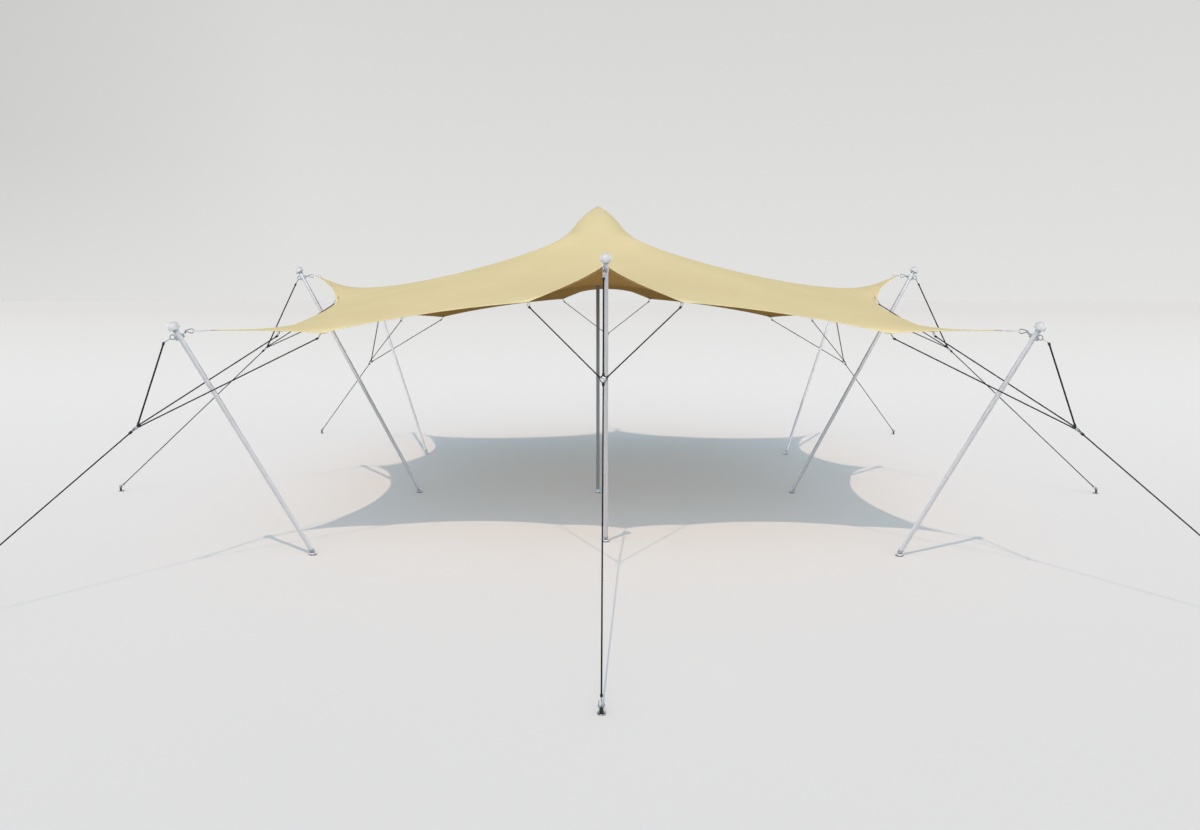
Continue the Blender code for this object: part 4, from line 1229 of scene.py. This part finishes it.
def makeAnchor(place):
    at = guide(place)
    foot, side = at["anchor"], at["side"]
    depth = up.cross(side)
    inwards = Vector((at["upGuy"].x, at["upGuy"].y, 0.0)).normalized()
    wide, high = anchor["discRadius"], anchor["discHeight"]
    shape = newShape()
    lathe(shape, foot, up, [
        (0.0, 0.0), (wide * 0.96, 0.0), (wide, 0.0012), (wide, high - 0.0015), (wide * 0.95, high),
        (wide * 0.86, high), (wide * 0.78, high - 0.0035), (wide * 0.45, high - 0.0035), (0.0, high - 0.0035)], 48)
    # Loose ring round the sleeve's foot: it leans on the plate's rim and touches the ground on the tent's side
    centre = foot + inwards * 0.017 + up * 0.0085
    ringWay = (inwards - up * 0.24).normalized()
    path = [centre + (side * math.cos(t) + ringWay * math.sin(t)) * anchor["ringRadius"]
            for t in (2 * math.pi * i / 32 for i in range(32))]
    sweep(shape, path, anchor["ringWire"], 12, 0, True, side.cross(ringWay))
    # Fork: two lugs with round tops, a pin through them, and the saddle that they stand on
    start, end = anchor["forkStart"], anchor["forkEnd"]
    lugDepth = anchor["forkDepth"]
    for way in (1, -1):
        middle = foot + up * (start + end) / 2 + side * way * (anchor["forkWidth"] / 2 - 0.0045)
        loftBar(shape, middle, (side, depth, up), (0.008, lugDepth, end - start), 0.0035)
    saddle = foot + up * (start + 0.0035)
    loftBar(shape, saddle, (side, depth, up), (anchor["forkWidth"] - 0.008, 0.013, 0.007), 0.002)
    pin = at["pull"] + at["upGuy"] * (rigging["anchorLinkStart"] + 2 * rigging["anchorLinkWire"] + anchor["pinRadius"])
    roundRod(shape, pin - side * 0.0195, pin + side * 0.0195, anchor["pinRadius"])
    # Rubber sleeve with ridges
    radius, top = anchor["sleeveRadius"], anchor["sleeveEnd"]
    profile = [(0.0, 0.004), (radius * 0.92, 0.004), (radius, 0.006)]
    for i in range(4):
        low = 0.011 + i * 0.0090
        profile += [(radius, low), (radius * 0.9, low + 0.0012), (radius * 0.9, low + 0.0026), (radius, low + 0.0038)]
    profile += [(radius, top - 0.002), (radius * 0.85, top), (0.0, top)]
    lathe(shape, foot, up, profile, 28, 1)
    piece = finishShape("anchor" + place, shape, ("zinc", "rubber"))
    ends = lineMesh("forkNuts" + place, [[pin + side * way * 0.0225] for way in (1, -1)],
                    [tuple(side * way) for way in (1, -1)])
    runTree(ends, trees["bolt"], {"Across Corners": 0.012, "Head Height": 0.004, "Steel": materials["stainless"]})
    dress(joinPieces([piece, ends]), "anchor_steel", nodeName("anchor", place))


# Camera, floor and light

view = {"place": (0.033, -12.607, 2.8), "pitch": 0.1328, "yaw": 0.0091, "lens": 27.0, "sensor": 36.0}
studio = {
    "floorNear": -8.0, "floorFar": 142.0, "floorReach": 400.0,
    # The floor's tones along its length are painted shade
    "floorShadeTones": ((0.0, "#DBDBDB"), (0.08, "#E3E2E2"), (0.17, "#E4E3E2"), (0.34, "#E1E0DE"), (0.63, "#DFDDDB"),
                   (1.0, "#DCDAD8")),
    "sunWay": (0.078, 0.633, -1.0), "sunStrength": 1.45, "sunColour": "#FFE0C6", "sunAngle": 0.5,
    "skyLow": (2.29, 2.65, 2.84), "skyHigh": (0.20, 0.24, 0.27), "skyEdge": (0.28, 0.41),
    "glow": (1.30, 1.50, 1.70), "glowWay": (0.0, -0.766, 0.643), "glowPower": 6.0,
    "seenLow": "#E2E2E1", "seenHigh": "#D7D7D6", "seenLeftShade": (-0.32, -0.56, 0.95, 0.86)}


def makeCamera():
    lens = bpy.data.cameras.new("photoView")
    lens.lens = view["lens"]
    lens.sensor_width = view["sensor"]
    lens.clip_end = 1000.0
    camera = bpy.data.objects.new("photoView", lens)
    camera.location = view["place"]
    camera.rotation_euler = (math.pi / 2 - view["pitch"], 0.0, view["yaw"])
    bpy.context.scene.collection.objects.link(camera)
    bpy.context.scene.camera = camera


def makeFloor():
    # Painted studio floor: matt, faintly uneven, with painted shade along its length: darker at its near edge and far
    # off, lightest between about 4 m and 17 m behind the tent's middle
    material, tree, shader = newMaterial("paleStudioFloor", "#E2E2E2", 0.85)
    shader.inputs["Specular IOR Level"].default_value = 0.0
    where = addNode(tree, "ShaderNodeTexCoord").outputs["Object"]
    away = addNode(tree, "ShaderNodeSeparateXYZ", {}, {0: where}).outputs["Y"]
    uneven = calculate(tree, "MULTIPLY", noise(tree, where, 0.3), 4.0)
    share = spread(tree, calculate(tree, "ADD", away, uneven), studio["floorNear"], studio["floorFar"], 0.0, 1.0)
    ramp = addNode(tree, "ShaderNodeValToRGB", {}, {0: share})
    stops = ramp.color_ramp.elements
    stops[0].color = fromHex(studio["floorShadeTones"][0][1])
    stops[1].color = fromHex(studio["floorShadeTones"][-1][1])
    for position, tone in studio["floorShadeTones"][1:-1]:
        stops.new(position).color = fromHex(tone)
    linkTo(tree, ramp.outputs["Color"], shader.inputs["Base Color"])
    reach = studio["floorReach"]
    mesh = bpy.data.meshes.new("studioFloor")
    mesh.from_pydata([(-reach, -reach, -0.0005), (reach, -reach, -0.0005), (reach, reach, -0.0005),
                      (-reach, reach, -0.0005)], [], [(0, 1, 2, 3)])
    mesh.materials.append(material)
    floor = bpy.data.objects.new("studioFloor", mesh)
    bpy.context.scene.collection.objects.link(floor)


def makeLight():
    lamp = bpy.data.lights.new("studioSun", "SUN")
    lamp.energy = studio["sunStrength"]
    lamp.color = fromHex(studio["sunColour"])[:3]
    lamp.angle = math.radians(studio["sunAngle"])
    sun = bpy.data.objects.new("studioSun", lamp)
    sun.rotation_mode = "QUATERNION"
    sun.rotation_quaternion = Vector((0, 0, -1)).rotation_difference(Vector(studio["sunWay"]))
    bpy.context.scene.collection.objects.link(sun)
    world = bpy.data.worlds.new("softStudio")
    world.use_nodes = True
    tree = world.node_tree
    tree.nodes.clear()
    # The light: a bright low sky, a darker bluish one above it, and a soft glow in front under the sun
    way = addNode(tree, "ShaderNodeTexCoord").outputs["Generated"]
    parts = addNode(tree, "ShaderNodeSeparateXYZ", {}, {0: way}).outputs
    lowest, highest = studio["skyEdge"]
    rise = addNode(tree, "ShaderNodeMapRange", {"interpolation_type": "SMOOTHSTEP"}, {
        0: parts["Z"], 1: lowest, 2: highest, 3: 0.0, 4: 1.0}).outputs[0]
    sky = addNode(tree, "ShaderNodeMix", {"data_type": "RGBA"}, {0: rise})
    sky.inputs["A"].default_value = (*studio["skyLow"], 1.0)
    sky.inputs["B"].default_value = (*studio["skyHigh"], 1.0)
    toGlow = addNode(tree, "ShaderNodeVectorMath", {"operation": "DOT_PRODUCT"}, {0: way, 1: studio["glowWay"]})
    towards = calculate(tree, "MAXIMUM", toGlow.outputs["Value"], 0.0)
    glow = addNode(tree, "ShaderNodeBackground", {}, {
        "Color": (*studio["glow"], 1.0), "Strength": calculate(tree, "POWER", towards, studio["glowPower"])})
    broad = addNode(tree, "ShaderNodeBackground", {}, {"Color": sky.outputs["Result"]})
    light = addNode(tree, "ShaderNodeAddShader", {}, {0: broad.outputs[0], 1: glow.outputs[0]})
    # What the camera sees: a plain backdrop, with painted shade that makes it a little darker upwards and to the left
    seenTone = blendColours(tree, spread(tree, parts["Z"], 0.0, 0.30, 0.0, 1.0), studio["seenLow"], studio["seenHigh"])
    start, end, leastLow, leastHigh = studio["seenLeftShade"]
    least = spread(tree, parts["Z"], 0.0, 0.14, leastLow, leastHigh)
    tilt = spread(tree, parts["X"], start, end, 1.0, least)
    seen = addNode(tree, "ShaderNodeBackground", {}, {"Color": seenTone, "Strength": tilt})
    toCamera = addNode(tree, "ShaderNodeLightPath").outputs["Is Camera Ray"]
    both = addNode(tree, "ShaderNodeMixShader", {}, {0: toCamera, 1: light.outputs[0], 2: seen.outputs[0]})
    output = addNode(tree, "ShaderNodeOutputWorld")
    linkTo(tree, both.outputs["Shader"], output.inputs["Surface"])
    bpy.context.scene.world = world
    bpy.context.scene.view_settings.view_transform = "Standard"


makeCamera()
makeFloor()
makeLight()
print("stretch tent: camera, floor and light set")

sheet, edgeRows = makeCanopy()
hemPiece = makeHem(edgeRows)
stitches = makeStitches(edgeRows)
tabs = makeTabs()
print("stretch tent: canopy sewn")
makeCentrePole()
makePoleHead()
for place in places:
    makeMast(place)
    makeCap(place)
    makeTailHook(place)
    makeGuy(place)
    makeAnchor(place)
print("stretch tent: masts, bridles and anchors set")
